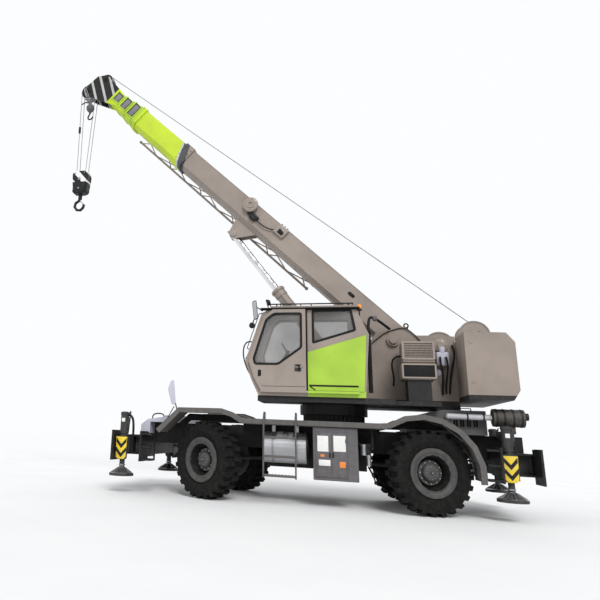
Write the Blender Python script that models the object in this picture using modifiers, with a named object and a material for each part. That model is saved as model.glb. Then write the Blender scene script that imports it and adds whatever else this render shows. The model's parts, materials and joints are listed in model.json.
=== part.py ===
"""Rough terrain crane: a two-axle carrier, a slewing upper with a side cab, and a four-section boom.

Machine coordinates, in metres: +X forward, +Y to the left (the cab side), +Z up, Z 0 on the ground,
X 0 near the rear axle. The whole model then moves by CENTRE_X, so that its own origin is under the
middle of its box. Each moving body has an empty on its joint's axis, and its pieces hang from it.
"""
from math import atan2, cos, hypot, pi, radians, sin

import bmesh
import bpy
from mathutils import Matrix, Vector

for old in list(bpy.data.objects):
    bpy.data.objects.remove(old)

# Driving dimensions: carrier
GAP = 0.0003  # between faces that touch
REAR_AXLE_X = 0.15
FRONT_AXLE_X = 3.85
TYRE_RADIUS = 0.70
TYRE_WIDTH = 0.43
WHEEL_Y = 1.125
KINGPIN_Y = 0.86
FRONT_STEER = -31.0  # degrees, as parked
REAR_STEER = 19.0
GIRDER_HALF = 0.40
GIRDER_LOW = 0.95
GIRDER_TOP = 1.36
GIRDER_REAR = -1.62
GIRDER_FRONT = 5.30
DECK_LOW = 1.385
DECK_TOP = 1.455
DECK_HALF = 1.30
SKIRT_OUTER = 1.36
FENDER_RADIUS = 0.885
FENDER_TOP = 1.60
FENDER_WALL = 0.036
SKIRT_WALL = 0.09
SKIRT_DROP = 0.012
FENDER_INNER = 0.74

# Outriggers
BOX_CENTRES = {"front": 5.56, "rear": -1.34}
BEAM_STAGGER = 0.145
BEAM_LENGTH_X = 0.25
BEAM_HEIGHT = 0.30
BEAM_Z = 0.90
BEAM_PLAY = 0.006
BEAM_WALL = 0.030
BOX_HALF = 1.02
PLATE_OUTER = 1.38
PLATE_WALL = 0.030
PLATE_LOW = 0.60
PLATE_TOP = 1.16
JACK_Y = 1.14
JACK_RADIUS = 0.080
JACK_LOW = 0.62
JACK_TOP = 1.50
FLOAT_RADIUS = 0.24
FLOAT_LOW = 0.31

# Slewing ring, upper and cab
SLEW_X = 1.65
RING_RADIUS = 0.60
RING_LOW = 1.47
RING_TOP = 1.63
RING_TEETH = 44
FLOOR_LOW = 1.80
FLOOR_TOP = 1.90
CHEEK_INNER = 0.256
CHEEK_WALL = 0.045
CAB_INNER_Y = 0.42
CAB_OUTER_Y = 1.262
CAB_WALL = 0.050
CAB_FLOOR = 1.92
CAB_ROOF = 3.64
DOOR_LOW_Y = 1.292
DOOR_WALL = 0.044
PANEL_WALL = 0.015
GLASS_WALL = 0.012

# Boom: angle, pivot, and places along it from the pivot
BOOM_ANGLE = 44.0
PIVOT_X = 0.46
PIVOT_Z = 3.12
BOOM_TOP = 0.345
BOOM_LOW = -0.180
BOOM_HALF = 0.230
BOOM_CHAMFER = 0.085
BOOM_TAIL = -0.30
BASE_END = 8.22
SECTION_STEP = 0.33
SECTION_WALL = 0.016
SECTION_PLAY = 0.014
SECTION_TAIL = 0.35
COLLAR_START = 6.28
COLLAR_END = 6.55
EYE_ALONG = 4.10
EYE_DROP = 0.33  # below the boom's underside
FOOT_X = 1.20
FOOT_Z = 2.16
HEAD_SHEAVE_ALONG = 9.92
HEAD_SHEAVE_DROP = -0.25
FALLS_LENGTH = 2.30
BLOCK_HEIGHT = 0.62

FRONT_REACH = 7.97
REAR_REACH = -1.725
CENTRE_X = -(FRONT_REACH + REAR_REACH) / 2

MODEL = bpy.data.collections.new("rough_terrain_crane")
CUTTERS = bpy.data.collections.new("cutters")
for collection in (MODEL, CUTTERS):
    bpy.context.scene.collection.children.link(collection)


class Frame:
    """An empty on a body's axis, and the matrix its pieces are drawn in."""

    def __init__(self, name, matrix, parent=None, drawing=None):
        self.empty = bpy.data.objects.new(name, None)
        MODEL.objects.link(self.empty)
        self.world = matrix
        self.drawing = drawing or matrix
        if parent:
            self.empty.parent = parent.empty
            self.empty.matrix_parent_inverse = parent.world.inverted()
        self.empty.matrix_basis = matrix

    def hold(self, thing):
        thing.parent = self.empty
        thing.matrix_parent_inverse = self.world.inverted()
        thing.matrix_basis = self.drawing


MACHINE = Matrix.Translation((CENTRE_X, 0, 0))
CARRIER = Frame("carrier_frame", MACHINE)


def frame_at(name, x, y, z, parent, turn_y=0.0, turn_z=0.0, local=True):
    """A frame whose origin is at that place of the machine; local frames draw from that origin."""
    turn = Matrix.Rotation(radians(turn_z), 4, "Z") @ Matrix.Rotation(radians(-turn_y), 4, "Y")
    world = MACHINE @ Matrix.Translation((x, y, z)) @ turn
    return Frame(name, world, parent, world if local else MACHINE)


# Materials: name, colour, roughness, metallic
FINISHES = {
    "body_grey": ((0.47, 0.43, 0.40), 0.45, 0.0),
    "lime": ((0.42, 0.66, 0.02), 0.40, 0.0),
    "dark": ((0.030, 0.032, 0.035), 0.55, 0.0),
    "frame_grey": ((0.055, 0.058, 0.065), 0.50, 0.0),
    "box_grey": ((0.22, 0.22, 0.23), 0.50, 0.0),
    "rubber": ((0.018, 0.018, 0.019), 0.85, 0.0),
    "rim_grey": ((0.13, 0.13, 0.14), 0.50, 0.3),
    "silver": ((0.55, 0.56, 0.58), 0.35, 0.8),
    "chrome": ((0.80, 0.80, 0.82), 0.12, 1.0),
    "glass": ((0.10, 0.13, 0.13), 0.08, 0.0),
    "lilac_grey": ((0.52, 0.52, 0.60), 0.45, 0.0),
    "seat_black": ((0.02, 0.02, 0.02), 0.80, 0.0),
    "safety_yellow": ((0.75, 0.60, 0.02), 0.45, 0.0),
}


def finish(name):
    made = bpy.data.materials.get(name)
    if made:
        return made
    colour, roughness, metallic = FINISHES[name]
    made = bpy.data.materials.new(name)
    made.use_nodes = True
    shader = made.node_tree.nodes["Principled BSDF"]
    shader.inputs["Base Color"].default_value = (*colour, 1)
    shader.inputs["Roughness"].default_value = roughness
    shader.inputs["Metallic"].default_value = metallic
    return made


# Shapes: each is a hidden object held by a frame, until a node takes it
def keep(mesh, frame):
    thing = bpy.data.objects.new("shape", mesh)
    CUTTERS.objects.link(thing)
    thing.hide_render = True
    thing.display_type = "WIRE"
    frame.hold(thing)
    return thing


def from_bmesh(bm, frame):
    mesh = bpy.data.meshes.new("shape")
    bmesh.ops.recalc_face_normals(bm, faces=bm.faces)
    bm.to_mesh(mesh)
    bm.free()
    return keep(mesh, frame)


def box(frame, x, y, z, edge=0.0):
    """A box over the ranges x, y and z, each (low, high), with its edges bevelled by edge."""
    bm = bmesh.new()
    bmesh.ops.create_cube(bm, size=1)
    for v in bm.verts:
        for axis, (low, high) in enumerate((x, y, z)):
            v.co[axis] = (low + high) / 2 + v.co[axis] * (high - low)
    if edge:
        bmesh.ops.bevel(bm, geom=bm.edges[:], offset=edge, segments=1, profile=0.5, affect="EDGES")
    return from_bmesh(bm, frame)


def rod(frame, start, end, radius, sides=16, end_radius=None):
    """A round bar, or a cone, from start to end."""
    start, end = Vector(start), Vector(end)
    along = end - start
    bm = bmesh.new()
    bmesh.ops.create_cone(
        bm, cap_ends=True, segments=sides, radius1=radius,
        radius2=radius if end_radius is None else end_radius, depth=along.length)
    turn = along.to_track_quat("Z", "Y").to_matrix().to_4x4()
    bmesh.ops.transform(bm, matrix=Matrix.Translation((start + end) / 2) @ turn, verts=bm.verts)
    return from_bmesh(bm, frame)


def curve_mesh(curve, frame):
    """The welded mesh of a curve, held by a frame."""
    guide = bpy.data.objects.new("guide", curve)
    CUTTERS.objects.link(guide)
    ready = guide.evaluated_get(bpy.context.evaluated_depsgraph_get())
    mesh = bpy.data.meshes.new_from_object(ready)
    bpy.data.objects.remove(guide)
    bm = bmesh.new()
    bm.from_mesh(mesh)
    bmesh.ops.remove_doubles(bm, verts=bm.verts, dist=0.00005)
    return bm


ACROSS = {  # how a flat outline's two directions lie in the frame
    "X": Matrix(((0, 0, 1, 0), (1, 0, 0, 0), (0, 1, 0, 0), (0, 0, 0, 1))),
    "Y": Matrix(((1, 0, 0, 0), (0, 0, -1, 0), (0, 1, 0, 0), (0, 0, 0, 1))),
    "Z": Matrix.Identity(4),
}


def prism(frame, outline, through, low, high):
    """A flat outline drawn across the axis named through, thick from low to high along it."""
    curve = bpy.data.curves.new("outline", "CURVE")
    curve.dimensions = "2D"
    curve.fill_mode = "BOTH"
    curve.extrude = (high - low) / 2
    line = curve.splines.new("POLY")
    line.points.add(len(outline) - 1)
    for point, (a, b) in zip(line.points, outline):
        point.co = (a, b, 0, 1)
    line.use_cyclic_u = True
    bm = curve_mesh(curve, frame)
    middle = (low + high) / 2
    place = Matrix.Translation({"X": (middle, 0, 0), "Y": (0, middle, 0), "Z": (0, 0, middle)}[through])
    bmesh.ops.transform(bm, matrix=place @ ACROSS[through], verts=bm.verts)
    return from_bmesh(bm, frame)


def tube(frame, points, radius, sides=8, closed=False):
    """A round tube along straight runs."""
    curve = bpy.data.curves.new("run", "CURVE")
    curve.dimensions = "3D"
    curve.bevel_depth = radius
    curve.bevel_resolution = max(0, sides // 2 - 2)
    curve.use_fill_caps = True
    line = curve.splines.new("POLY")
    line.points.add(len(points) - 1)
    for point, place in zip(line.points, points):
        point.co = (*place, 1)
    line.use_cyclic_u = closed
    return from_bmesh(curve_mesh(curve, frame), frame)


def pipe(frame, points, radius, sides):
    """Round bars laid end to end, each run on a little past its corner."""
    bars = []
    for number, (start, end) in enumerate(zip(points, points[1:])):
        start, end = Vector(start), Vector(end)
        past = (end - start).normalized() * radius * 0.6
        first = start - past if number else start
        last = end + past if number + 2 < len(points) else end
        bars.append(rod(frame, first, last, radius - 0.0004 * (number % 2), sides))
    return bars


def turned(frame, profile, centre, steps):
    """A profile of (radius, y) points, from the axis round to the axis, turned about Y at centre."""
    bm = bmesh.new()
    ring = [bm.verts.new((radius, y, 0)) for radius, y in profile]
    for a, b in zip(ring, ring[1:]):
        bm.edges.new((a, b))
    mesh = bpy.data.meshes.new("profile")
    bmesh.ops.transform(bm, matrix=Matrix.Translation(centre), verts=bm.verts)
    bm.to_mesh(mesh)
    bm.free()
    thing = keep(mesh, frame)
    centre_empty = bpy.data.objects.new("turning_axis", None)
    CUTTERS.objects.link(centre_empty)
    centre_empty.hide_render = True
    frame.hold(centre_empty)
    centre_empty.matrix_basis = frame.drawing @ Matrix.Translation(centre)
    screw = thing.modifiers.new("turn", "SCREW")
    screw.axis = "Y"
    screw.object = centre_empty
    screw.steps = screw.render_steps = steps
    screw.use_merge_vertices = True
    screw.merge_threshold = 0.00005
    screw.use_smooth_shade = True
    return thing


def node(name, frame, material, solids, cuts=()):
    """One sub-part: the solids joined, the cuts taken away, as a shown object with its own material."""
    thing = solids[0]
    CUTTERS.objects.unlink(thing)
    MODEL.objects.link(thing)
    thing.name = thing.data.name = name
    thing.hide_render = False
    thing.display_type = "TEXTURED"
    thing.data.materials.clear()
    thing.data.materials.append(finish(material))
    for operation, tools in (("UNION", solids[1:]), ("DIFFERENCE", cuts)):
        if not tools:
            continue
        group = bpy.data.collections.new(name + "_" + operation.lower())
        CUTTERS.children.link(group)
        for tool in tools:
            CUTTERS.objects.unlink(tool)
            group.objects.link(tool)
        step = thing.modifiers.new(operation.lower(), "BOOLEAN")
        step.operation = operation
        step.solver = "EXACT"
        step.operand_type = "COLLECTION"
        step.collection = group
    thing.data.shade_smooth()
    thing.data.set_sharp_from_angle(angle=radians(35))
    return thing


# Flat outlines
def inset(outline, distance):
    """The outline with each side moved inwards by distance, or outwards where it is negative."""
    area = sum(a[0] * b[1] - b[0] * a[1] for a, b in zip(outline, outline[1:] + outline[:1]))
    shift = distance if area > 0 else -distance
    moved = []
    for i, here in enumerate(outline):
        before, after = Vector(outline[i - 1]), Vector(outline[(i + 1) % len(outline)])
        here = Vector(here)
        into, out = (here - before).normalized(), (after - here).normalized()
        n1, n2 = Vector((-into.y, into.x)), Vector((-out.y, out.x))
        moved.append(tuple(here + (n1 + n2) * (shift / (1 + n1.dot(n2)))))
    return moved


def arc(cx, cz, radius, start, end, steps):
    """Points on an arc, angles in degrees."""
    turns = [radians(start + (end - start) * i / steps) for i in range(steps + 1)]
    return [(cx + radius * cos(t), cz + radius * sin(t)) for t in turns]


def ribbon(path, wall):
    """The closed outline of a sheet of that wall, laid along a path on its left side."""
    outer = []
    for i, here in enumerate(path):
        here = Vector(here)
        into = (here - Vector(path[i - 1])).normalized() if i else None
        out = (Vector(path[i + 1]) - here).normalized() if i + 1 < len(path) else None
        n1 = Vector((-into.y, into.x)) if into else Vector((-out.y, out.x))
        n2 = Vector((-out.y, out.x)) if out else n1
        outer.append(tuple(here + (n1 + n2) * (wall / (1 + n1.dot(n2)))))
    return list(path) + outer[::-1]


SIDES = {"left": 1, "right": -1}
ENDS = {"front": (FRONT_AXLE_X, FRONT_STEER), "rear": (REAR_AXLE_X, REAR_STEER)}


def span(side, low, high):
    """The y range low to high on that side, in rising order."""
    return tuple(sorted((side * low, side * high)))


# Chassis frame: girder, belly, ring seat, axle pads and the two outrigger boxes
def beam_x(end, side):
    """The left beam lies outermost at the front box and innermost at the rear box."""
    return BOX_CENTRES[end] + BEAM_STAGGER * side


def chassis():
    solids = [
        box(CARRIER, (GIRDER_REAR, GIRDER_FRONT), (-GIRDER_HALF, GIRDER_HALF), (GIRDER_LOW, GIRDER_TOP)),
        box(CARRIER, (1.06, 2.94), (-0.48, 0.48), (0.62, GIRDER_LOW + 0.03)),
        rod(CARRIER, (SLEW_X, 0, GIRDER_TOP - 0.05), (SLEW_X, 0, DECK_LOW + 0.02), RING_RADIUS - 0.06, 24),
        rod(CARRIER, (SLEW_X, 0, DECK_LOW + 0.002), (SLEW_X, 0, RING_LOW - GAP), RING_RADIUS + 0.05, 32),
    ]
    for x in (0.80, 2.65):
        solids.append(box(CARRIER, (x, x + 0.15), (-0.38, 0.38), (GIRDER_TOP - 0.02, DECK_LOW - GAP)))
    cuts = []
    for axle_x, _ in ENDS.values():
        for side in SIDES.values():
            solids.append(box(CARRIER, (axle_x - 0.11, axle_x + 0.11), span(side, 0.26, 0.36),
                              (TYRE_RADIUS + 0.125, GIRDER_LOW + 0.02)))
    half_x = BEAM_STAGGER + BEAM_LENGTH_X / 2 + BEAM_PLAY + BEAM_WALL
    half_z = BEAM_HEIGHT / 2 + BEAM_PLAY + BEAM_WALL
    for end, centre in BOX_CENTRES.items():
        solids.append(box(CARRIER, (centre - half_x, centre + half_x), (-BOX_HALF, BOX_HALF),
                          (BEAM_Z - half_z, BEAM_Z + half_z)))
        for side in SIDES.values():
            for face in (-1, 1):
                near = centre + face * (half_x - PLATE_WALL)
                far = centre + face * (half_x + 0.004)
                solids.append(box(CARRIER, tuple(sorted((near, far))),
                                  span(side, BOX_HALF - 0.10, PLATE_OUTER), (PLATE_LOW, PLATE_TOP)))
            middle = beam_x(end, side)
            reach = BEAM_LENGTH_X / 2 + BEAM_PLAY
            cuts.append(box(CARRIER, (middle - reach, middle + reach), (-BOX_HALF - 0.5, BOX_HALF + 0.5),
                            (BEAM_Z - BEAM_HEIGHT / 2 - GAP, BEAM_Z + BEAM_HEIGHT / 2 + BEAM_PLAY)))
        inner = centre - half_x if end == "front" else centre + half_x
        toward = -1 if end == "front" else 1
        for side in SIDES.values():
            for step in range(3):
                level = PLATE_LOW + 0.02 + 0.24 * step
                solids.append(box(CARRIER, tuple(sorted((inner - 0.01 * toward, inner + 0.20 * toward))),
                                  span(side, 1.06, SKIRT_OUTER), (level, level + 0.035)))
            solids.append(box(CARRIER, tuple(sorted((inner + 0.175 * toward, inner + 0.20 * toward))),
                              span(side, 1.06, 1.10), (PLATE_LOW + 0.02, PLATE_LOW + 0.535)))
    return node("chassis_frame", CARRIER, "frame_grey", solids, cuts)


# Deck and fenders: one skin that rises over the wheels, with a deeper skirt along its outer edge
def side_path(drop, lip=186):
    """The line that the skin follows from the rear lip to the nose, or drop below it."""
    radius = FENDER_RADIUS - drop
    level = DECK_LOW + 0.02 - drop
    over_rear = arc(REAR_AXLE_X, TYRE_RADIUS, radius, lip, 54, 7)
    over_front = arc(FRONT_AXLE_X, TYRE_RADIUS, radius, 127, 100, 2)
    nose = [(4.50, FENDER_TOP - FENDER_WALL - drop), (4.92 - drop, 1.165 - drop)]
    return over_rear + [(0.86, level), (3.20, level)] + over_front + nose


def deck():
    solids = [box(CARRIER, (0.74, 3.27), (-DECK_HALF, DECK_HALF), (DECK_LOW, DECK_TOP))]
    for side in SIDES.values():
        skin = ribbon(side_path(0), FENDER_WALL)
        skirt = ribbon(side_path(SKIRT_DROP, 189), SKIRT_WALL)
        solids.append(prism(CARRIER, skin, "Y", *span(side, FENDER_INNER, SKIRT_OUTER - 0.02)))
        solids.append(prism(CARRIER, skirt, "Y", *span(side, SKIRT_OUTER - 0.07, SKIRT_OUTER)))
    hole = rod(CARRIER, (SLEW_X, 0, DECK_LOW - 0.2), (SLEW_X, 0, DECK_TOP + 0.2), RING_RADIUS + 0.06, 32)
    return node("deck_and_fenders", CARRIER, "frame_grey", solids, [hole])


CASE_PROFILE = [(0, -0.17), (0.15, -0.17), (0.20, -0.10), (0.215, 0), (0.20, 0.10), (0.15, 0.17), (0, 0.17)]


def axle(end, axle_x):
    """A driven axle: tube, round differential case and a yoke at each end for the knuckle."""
    reach = KINGPIN_Y - 0.12
    solids = [
        rod(CARRIER, (axle_x, -reach, TYRE_RADIUS), (axle_x, reach, TYRE_RADIUS), 0.124, 14),
        turned(CARRIER, CASE_PROFILE, (axle_x, 0, TYRE_RADIUS), 16),
    ]
    for side in SIDES.values():
        solids.append(box(CARRIER, (axle_x - 0.09, axle_x + 0.09), span(side, 0.27, 0.35),
                          (TYRE_RADIUS + 0.05, TYRE_RADIUS + 0.125 - GAP)))
        solids.append(box(CARRIER, (axle_x - 0.10, axle_x + 0.10), span(side, KINGPIN_Y - 0.16, KINGPIN_Y - 0.10),
                          (TYRE_RADIUS - 0.225, TYRE_RADIUS + 0.225)))
        for level in (-1, 1):
            low, high = sorted((level * 0.172, level * 0.225))
            solids.append(box(CARRIER, (axle_x - 0.075, axle_x + 0.075), span(side, KINGPIN_Y - 0.13, KINGPIN_Y + 0.075),
                              (TYRE_RADIUS + low, TYRE_RADIUS + high)))
    return node(end + "_axle", CARRIER, "frame_grey", solids)


RIM_PROFILE = [  # radius, y outwards from the wheel's middle plane
    (0, 0.055), (0.055, 0.055), (0.060, 0.020), (0.150, 0.015), (0.170, -0.030), (0.255, -0.045),
    (0.295, 0.185), (0.410, 0.185), (0.410, 0.1685), (0.3247, 0.1685), (0.3247, -0.1685), (0.410, -0.1685),
    (0.410, -0.185), (0.300, -0.185), (0.270, -0.085), (0, -0.085)]
TYRE_PROFILE = [  # radius, y: bead, lower wall, bulge, shoulder, crown
    (0.325, -0.150), (0.415, -0.165), (0.520, -0.215), (0.645, -0.195), (0.662, 0.0),
    (0.645, 0.195), (0.520, 0.215), (0.415, 0.165), (0.325, 0.150)]
RIM_STEPS = 16
LUG_PAIRS = 24
LUG_TAPER = 0.90


def tyre(name, frame, out):
    """A tyre turned from its section; alternate tread faces stand out as lugs down to the full radius."""
    bm = bmesh.new()
    ring = [bm.verts.new((radius, y, 0)) for radius, y in TYRE_PROFILE]
    edges = [bm.edges.new((a, b)) for a, b in zip(ring, ring[1:] + ring[:1])]
    bmesh.ops.spin(bm, geom=ring + edges, cent=(0, 0, 0), axis=(0, 1, 0), angle=2 * pi,
                   steps=2 * LUG_PAIRS, use_merge=True)
    bmesh.ops.recalc_face_normals(bm, faces=bm.faces)
    step = pi / LUG_PAIRS
    lugs = []
    for face in bm.faces:
        middle = face.calc_center_median()
        if hypot(middle.x, middle.z) < 0.63:
            continue
        index = round(atan2(middle.z, middle.x) / step - 0.5)
        if (index % 2 == 0) == (middle.y > 0):
            lugs.append(face)
    for face in bmesh.ops.extrude_discrete_faces(bm, faces=lugs)["faces"]:
        middle = face.calc_center_median()
        for v in face.verts:
            v.co = middle.lerp(v.co, LUG_TAPER)
            rise = TYRE_RADIUS / hypot(v.co.x, v.co.z)
            v.co.x *= rise
            v.co.z *= rise
    bmesh.ops.transform(bm, matrix=Matrix.Rotation(pi / 2, 4, "Y"), verts=bm.verts)
    bmesh.ops.transform(bm, matrix=Matrix.Translation((0, out, 0)), verts=bm.verts)
    return node(name, frame, "rubber", [from_bmesh(bm, frame)])


def wheel_set(end, side_name):
    """Knuckle, rim and tyre of one wheel, on frames at the kingpin and at the hub."""
    axle_x, steer = ENDS[end]
    side = SIDES[side_name]
    tag = "_" + end + "_" + side_name
    pin = frame_at("kingpin" + tag, axle_x, side * KINGPIN_Y, TYRE_RADIUS, CARRIER, turn_z=steer)
    offset = side * (WHEEL_Y - KINGPIN_Y)
    hub = Frame("hub" + tag, pin.world @ Matrix.Translation((0, offset, 0)), pin)
    node("knuckle" + tag, pin, "frame_grey", [
        rod(pin, (0, 0, -0.172 + GAP), (0, 0, 0.172 - GAP), 0.072, 10),
        rod(pin, (0, 0, 0), (0, side * (0.18 - GAP), 0), 0.10, 10),
    ])
    rim = [(radius, side * y) for radius, y in RIM_PROFILE][::side]
    node("rim" + tag, hub, "rim_grey", [turned(hub, rim, (0, 0, 0), RIM_STEPS)])
    tyre("tyre" + tag, hub, 0)


# Outrigger beams with their jacks, and the feet that come out of them
def outrigger(end, side_name):
    side = SIDES[side_name]
    tag = "_" + end + "_" + side_name
    x = beam_x(end, side)
    slide = frame_at("beam_slide" + tag, x, 0, BEAM_Z, CARRIER, local=False)
    lift = frame_at("jack_slide" + tag, x, side * JACK_Y, JACK_LOW, slide, local=False)
    half = BEAM_LENGTH_X / 2
    solids = [
        box(slide, (x - half, x + half), span(side, -0.86, JACK_Y), (BEAM_Z - BEAM_HEIGHT / 2, BEAM_Z + BEAM_HEIGHT / 2)),
        rod(slide, (x, side * JACK_Y, JACK_LOW), (x, side * JACK_Y, JACK_TOP), JACK_RADIUS, 16),
        box(slide, (x - 0.115, x + 0.115), span(side, JACK_Y + 0.06, JACK_Y + 0.10), (PLATE_LOW + 0.05, BEAM_Z + 0.16)),
    ]
    bore = rod(slide, (x, side * JACK_Y, JACK_LOW - 0.1), (x, side * JACK_Y, JACK_TOP - 0.06), 0.052, 16)
    node("outrigger_beam" + tag, slide, "frame_grey", solids, [bore])
    centre = side * JACK_Y
    node("jack_foot" + tag, lift, "dark", [
        rod(lift, (x, centre, FLOAT_LOW + 0.03), (x, centre, JACK_TOP - 0.10), 0.052 - GAP, 16),
        rod(lift, (x, centre, FLOAT_LOW), (x, centre, FLOAT_LOW + 0.045), FLOAT_RADIUS, 20),
        rod(lift, (x, centre, FLOAT_LOW + 0.04), (x, centre, FLOAT_LOW + 0.15), 0.15, 16, 0.07),
    ])


# Pieces carried by the deck and the girder
def engine_and_exhaust():
    roof = [(0.35, GIRDER_TOP + GAP), (0.35, 1.62), (-0.08, 1.74), (-0.30, 1.785), (-1.00, 1.785),
            (-1.00, GIRDER_TOP + GAP)]
    half = 0.72
    inner = [(0.32, 1.2), (0.32, 1.595), (-0.09, 1.71), (-0.30, 1.755), (-0.97, 1.755), (-0.97, 1.2)]
    cuts = [prism(CARRIER, inner, "Y", -half + 0.03, half - 0.03)]
    for slot_number in range(5):
        x = -0.38 - 0.11 * slot_number
        cuts.append(box(CARRIER, (x - 0.035, x + 0.035), (-half - 0.1, half + 0.1), (1.50, 1.70)))
    node("engine_hood", CARRIER, "box_grey", [prism(CARRIER, roof, "Y", -half, half)], cuts)
    node("engine_block", CARRIER, "dark", [
        box(CARRIER, (-0.85, 0.18), (-0.32, 0.32), (GIRDER_TOP + GAP, 1.60), 0.03)])
    y, level = 0.90, 1.665
    node("exhaust", CARRIER, "silver", [
        rod(CARRIER, (-1.55, y, level), (-1.06, y, level), 0.15, 20),
        rod(CARRIER, (-1.10, y, level), (-0.33, y, level), 0.05, 12),
        rod(CARRIER, (-0.36, y + 0.02, level), (-0.36, 0.72 + GAP, level), 0.048, 12),
        box(CARRIER, (-1.40, -1.20), (0.76, y + 0.04), (GIRDER_TOP + 0.04, level)),
        box(CARRIER, (-1.40, -1.20), (GIRDER_HALF + GAP, 0.80), (GIRDER_TOP - 0.08, GIRDER_TOP + 0.08)),
    ])


def side_gear():
    node("fuel_tank", CARRIER, "silver", [
        rod(CARRIER, (2.14, 0.80, 0.99), (2.93, 0.80, 0.99), 0.285, 24),
        box(CARRIER, (2.28, 2.34), (0.72, 0.88), (1.2, DECK_LOW - GAP)),
        box(CARRIER, (2.72, 2.78), (0.72, 0.88), (1.2, DECK_LOW - GAP)),
    ])
    node("tool_box", CARRIER, "box_grey", [
        box(CARRIER, (1.22, 2.00), (0.56, 1.31), (0.47, DECK_LOW - GAP), 0.012),
        box(CARRIER, (1.40, 1.96), (1.30, 1.325), (0.52, 1.30), 0.006),
    ])
    node("hydraulic_tank", CARRIER, "frame_grey", [
        box(CARRIER, (1.20, 2.90), (-1.28, -0.56), (0.58, DECK_LOW - GAP), 0.03),
        rod(CARRIER, (2.6, -1.26, 1.0), (2.6, -1.31, 1.0), 0.07, 14),
    ])
    rails = []
    for x in (2.30, 2.88):
        rails += pipe(CARRIER, [(x, 1.385, 0.46), (x, 1.385, 1.52), (x, 1.31, 1.60), (x, 1.20, 1.60),
                                (x, 1.20, DECK_TOP + GAP)], 0.017, 6)
    rungs = [box(CARRIER, (2.29, 2.89), (1.37, 1.41), (z - 0.012, z + 0.012)) for z in (0.50, 0.83, 1.16)]
    node("ladder", CARRIER, "dark", rails + rungs)
    cover = [(4.60, GIRDER_TOP + GAP), (4.60, 1.50), (4.95, 1.48), (5.36, 1.41), (5.50, 1.30), (5.50, 1.115),
             (5.303, 1.115), (5.303, GIRDER_TOP + GAP)]
    node("front_cover", CARRIER, "lilac_grey", [prism(CARRIER, cover, "Y", -FENDER_INNER + 0.02, FENDER_INNER - 0.02)])


def slewing_ring():
    bm = bmesh.new()
    bmesh.ops.create_cone(bm, cap_ends=True, segments=2 * RING_TEETH, radius1=RING_RADIUS, radius2=RING_RADIUS,
                          depth=RING_TOP - RING_LOW - 0.02)
    for v in bm.verts:
        if round(atan2(v.co.y, v.co.x) / (pi / RING_TEETH)) % 2:
            v.co.x *= 0.955
            v.co.y *= 0.955
    middle = (RING_LOW + RING_TOP) / 2
    bmesh.ops.transform(bm, matrix=Matrix.Translation((SLEW_X, 0, middle)), verts=bm.verts)
    node("slewing_ring", CARRIER, "frame_grey", [
        from_bmesh(bm, CARRIER),
        rod(CARRIER, (SLEW_X, 0, RING_LOW), (SLEW_X, 0, RING_TOP - GAP), RING_RADIUS - 0.05, 24),
    ])


chassis()
deck()
for end_name, (x_axle, _) in ENDS.items():
    axle(end_name, x_axle)
    for side_tag in SIDES:
        wheel_set(end_name, side_tag)
        outrigger(end_name, side_tag)
engine_and_exhaust()
side_gear()
slewing_ring()

# Upper: everything that slews
UPPER = frame_at("slewing_axis", SLEW_X, 0, RING_TOP, CARRIER, local=False)
BOOM = frame_at("boom_pivot", PIVOT_X, 0, PIVOT_Z, UPPER, turn_y=BOOM_ANGLE)
TURN = radians(BOOM_ANGLE)


def boom_place(along, up):
    """The machine place (x, z) of a point of the boom at its parked angle."""
    return PIVOT_X + along * cos(TURN) - up * sin(TURN), PIVOT_Z + along * sin(TURN) + up * cos(TURN)


def turntable():
    cheek = [(-0.66, FLOOR_LOW), (1.92, FLOOR_LOW), (1.92, 2.05), (1.45, 2.45), (0.90, 3.10), (0.72, 3.36),
             (0.24, 3.40), (0.02, 3.22), (-0.30, 3.22), (-0.66, 3.20)]
    solids = [
        box(UPPER, (-0.66, 1.92), (-CHEEK_INNER - 0.10, CHEEK_INNER + 0.10), (FLOOR_LOW, FLOOR_TOP)),
        rod(UPPER, (SLEW_X, 0, RING_TOP), (SLEW_X, 0, FLOOR_LOW + 0.02), RING_RADIUS + 0.06, 28),
        box(UPPER, (0.55, 3.02), (0.30, 1.20), (FLOOR_LOW + 0.02, CAB_FLOOR - GAP)),
        box(UPPER, (-0.45, 1.70), (-1.15, -0.29), (FLOOR_LOW + 0.02, 2.55), 0.02),
        box(UPPER, (-0.24, 0.60), (0.29, 1.04), (FLOOR_LOW + 0.02, FLOOR_TOP)),
        rod(UPPER, (PIVOT_X, -0.36, PIVOT_Z), (PIVOT_X, -CHEEK_INNER - 0.01, PIVOT_Z), 0.12, 18),
        rod(UPPER, (PIVOT_X, CHEEK_INNER + 0.01, PIVOT_Z), (PIVOT_X, 0.36, PIVOT_Z), 0.12, 18),
    ]
    for side in SIDES.values():
        solids.append(prism(UPPER, cheek, "Y", *span(side, CHEEK_INNER, CHEEK_INNER + CHEEK_WALL)))
        ear = [(FOOT_X - 0.16, FLOOR_TOP - 0.03), (FOOT_X + 0.16, FLOOR_TOP - 0.03), (FOOT_X + 0.10, FOOT_Z + 0.08),
               (FOOT_X, FOOT_Z + 0.12), (FOOT_X - 0.10, FOOT_Z + 0.08)]
        solids.append(prism(UPPER, ear, "Y", *span(side, 0.135, 0.175)))
    node("turntable", UPPER, "body_grey", solids)


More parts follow.
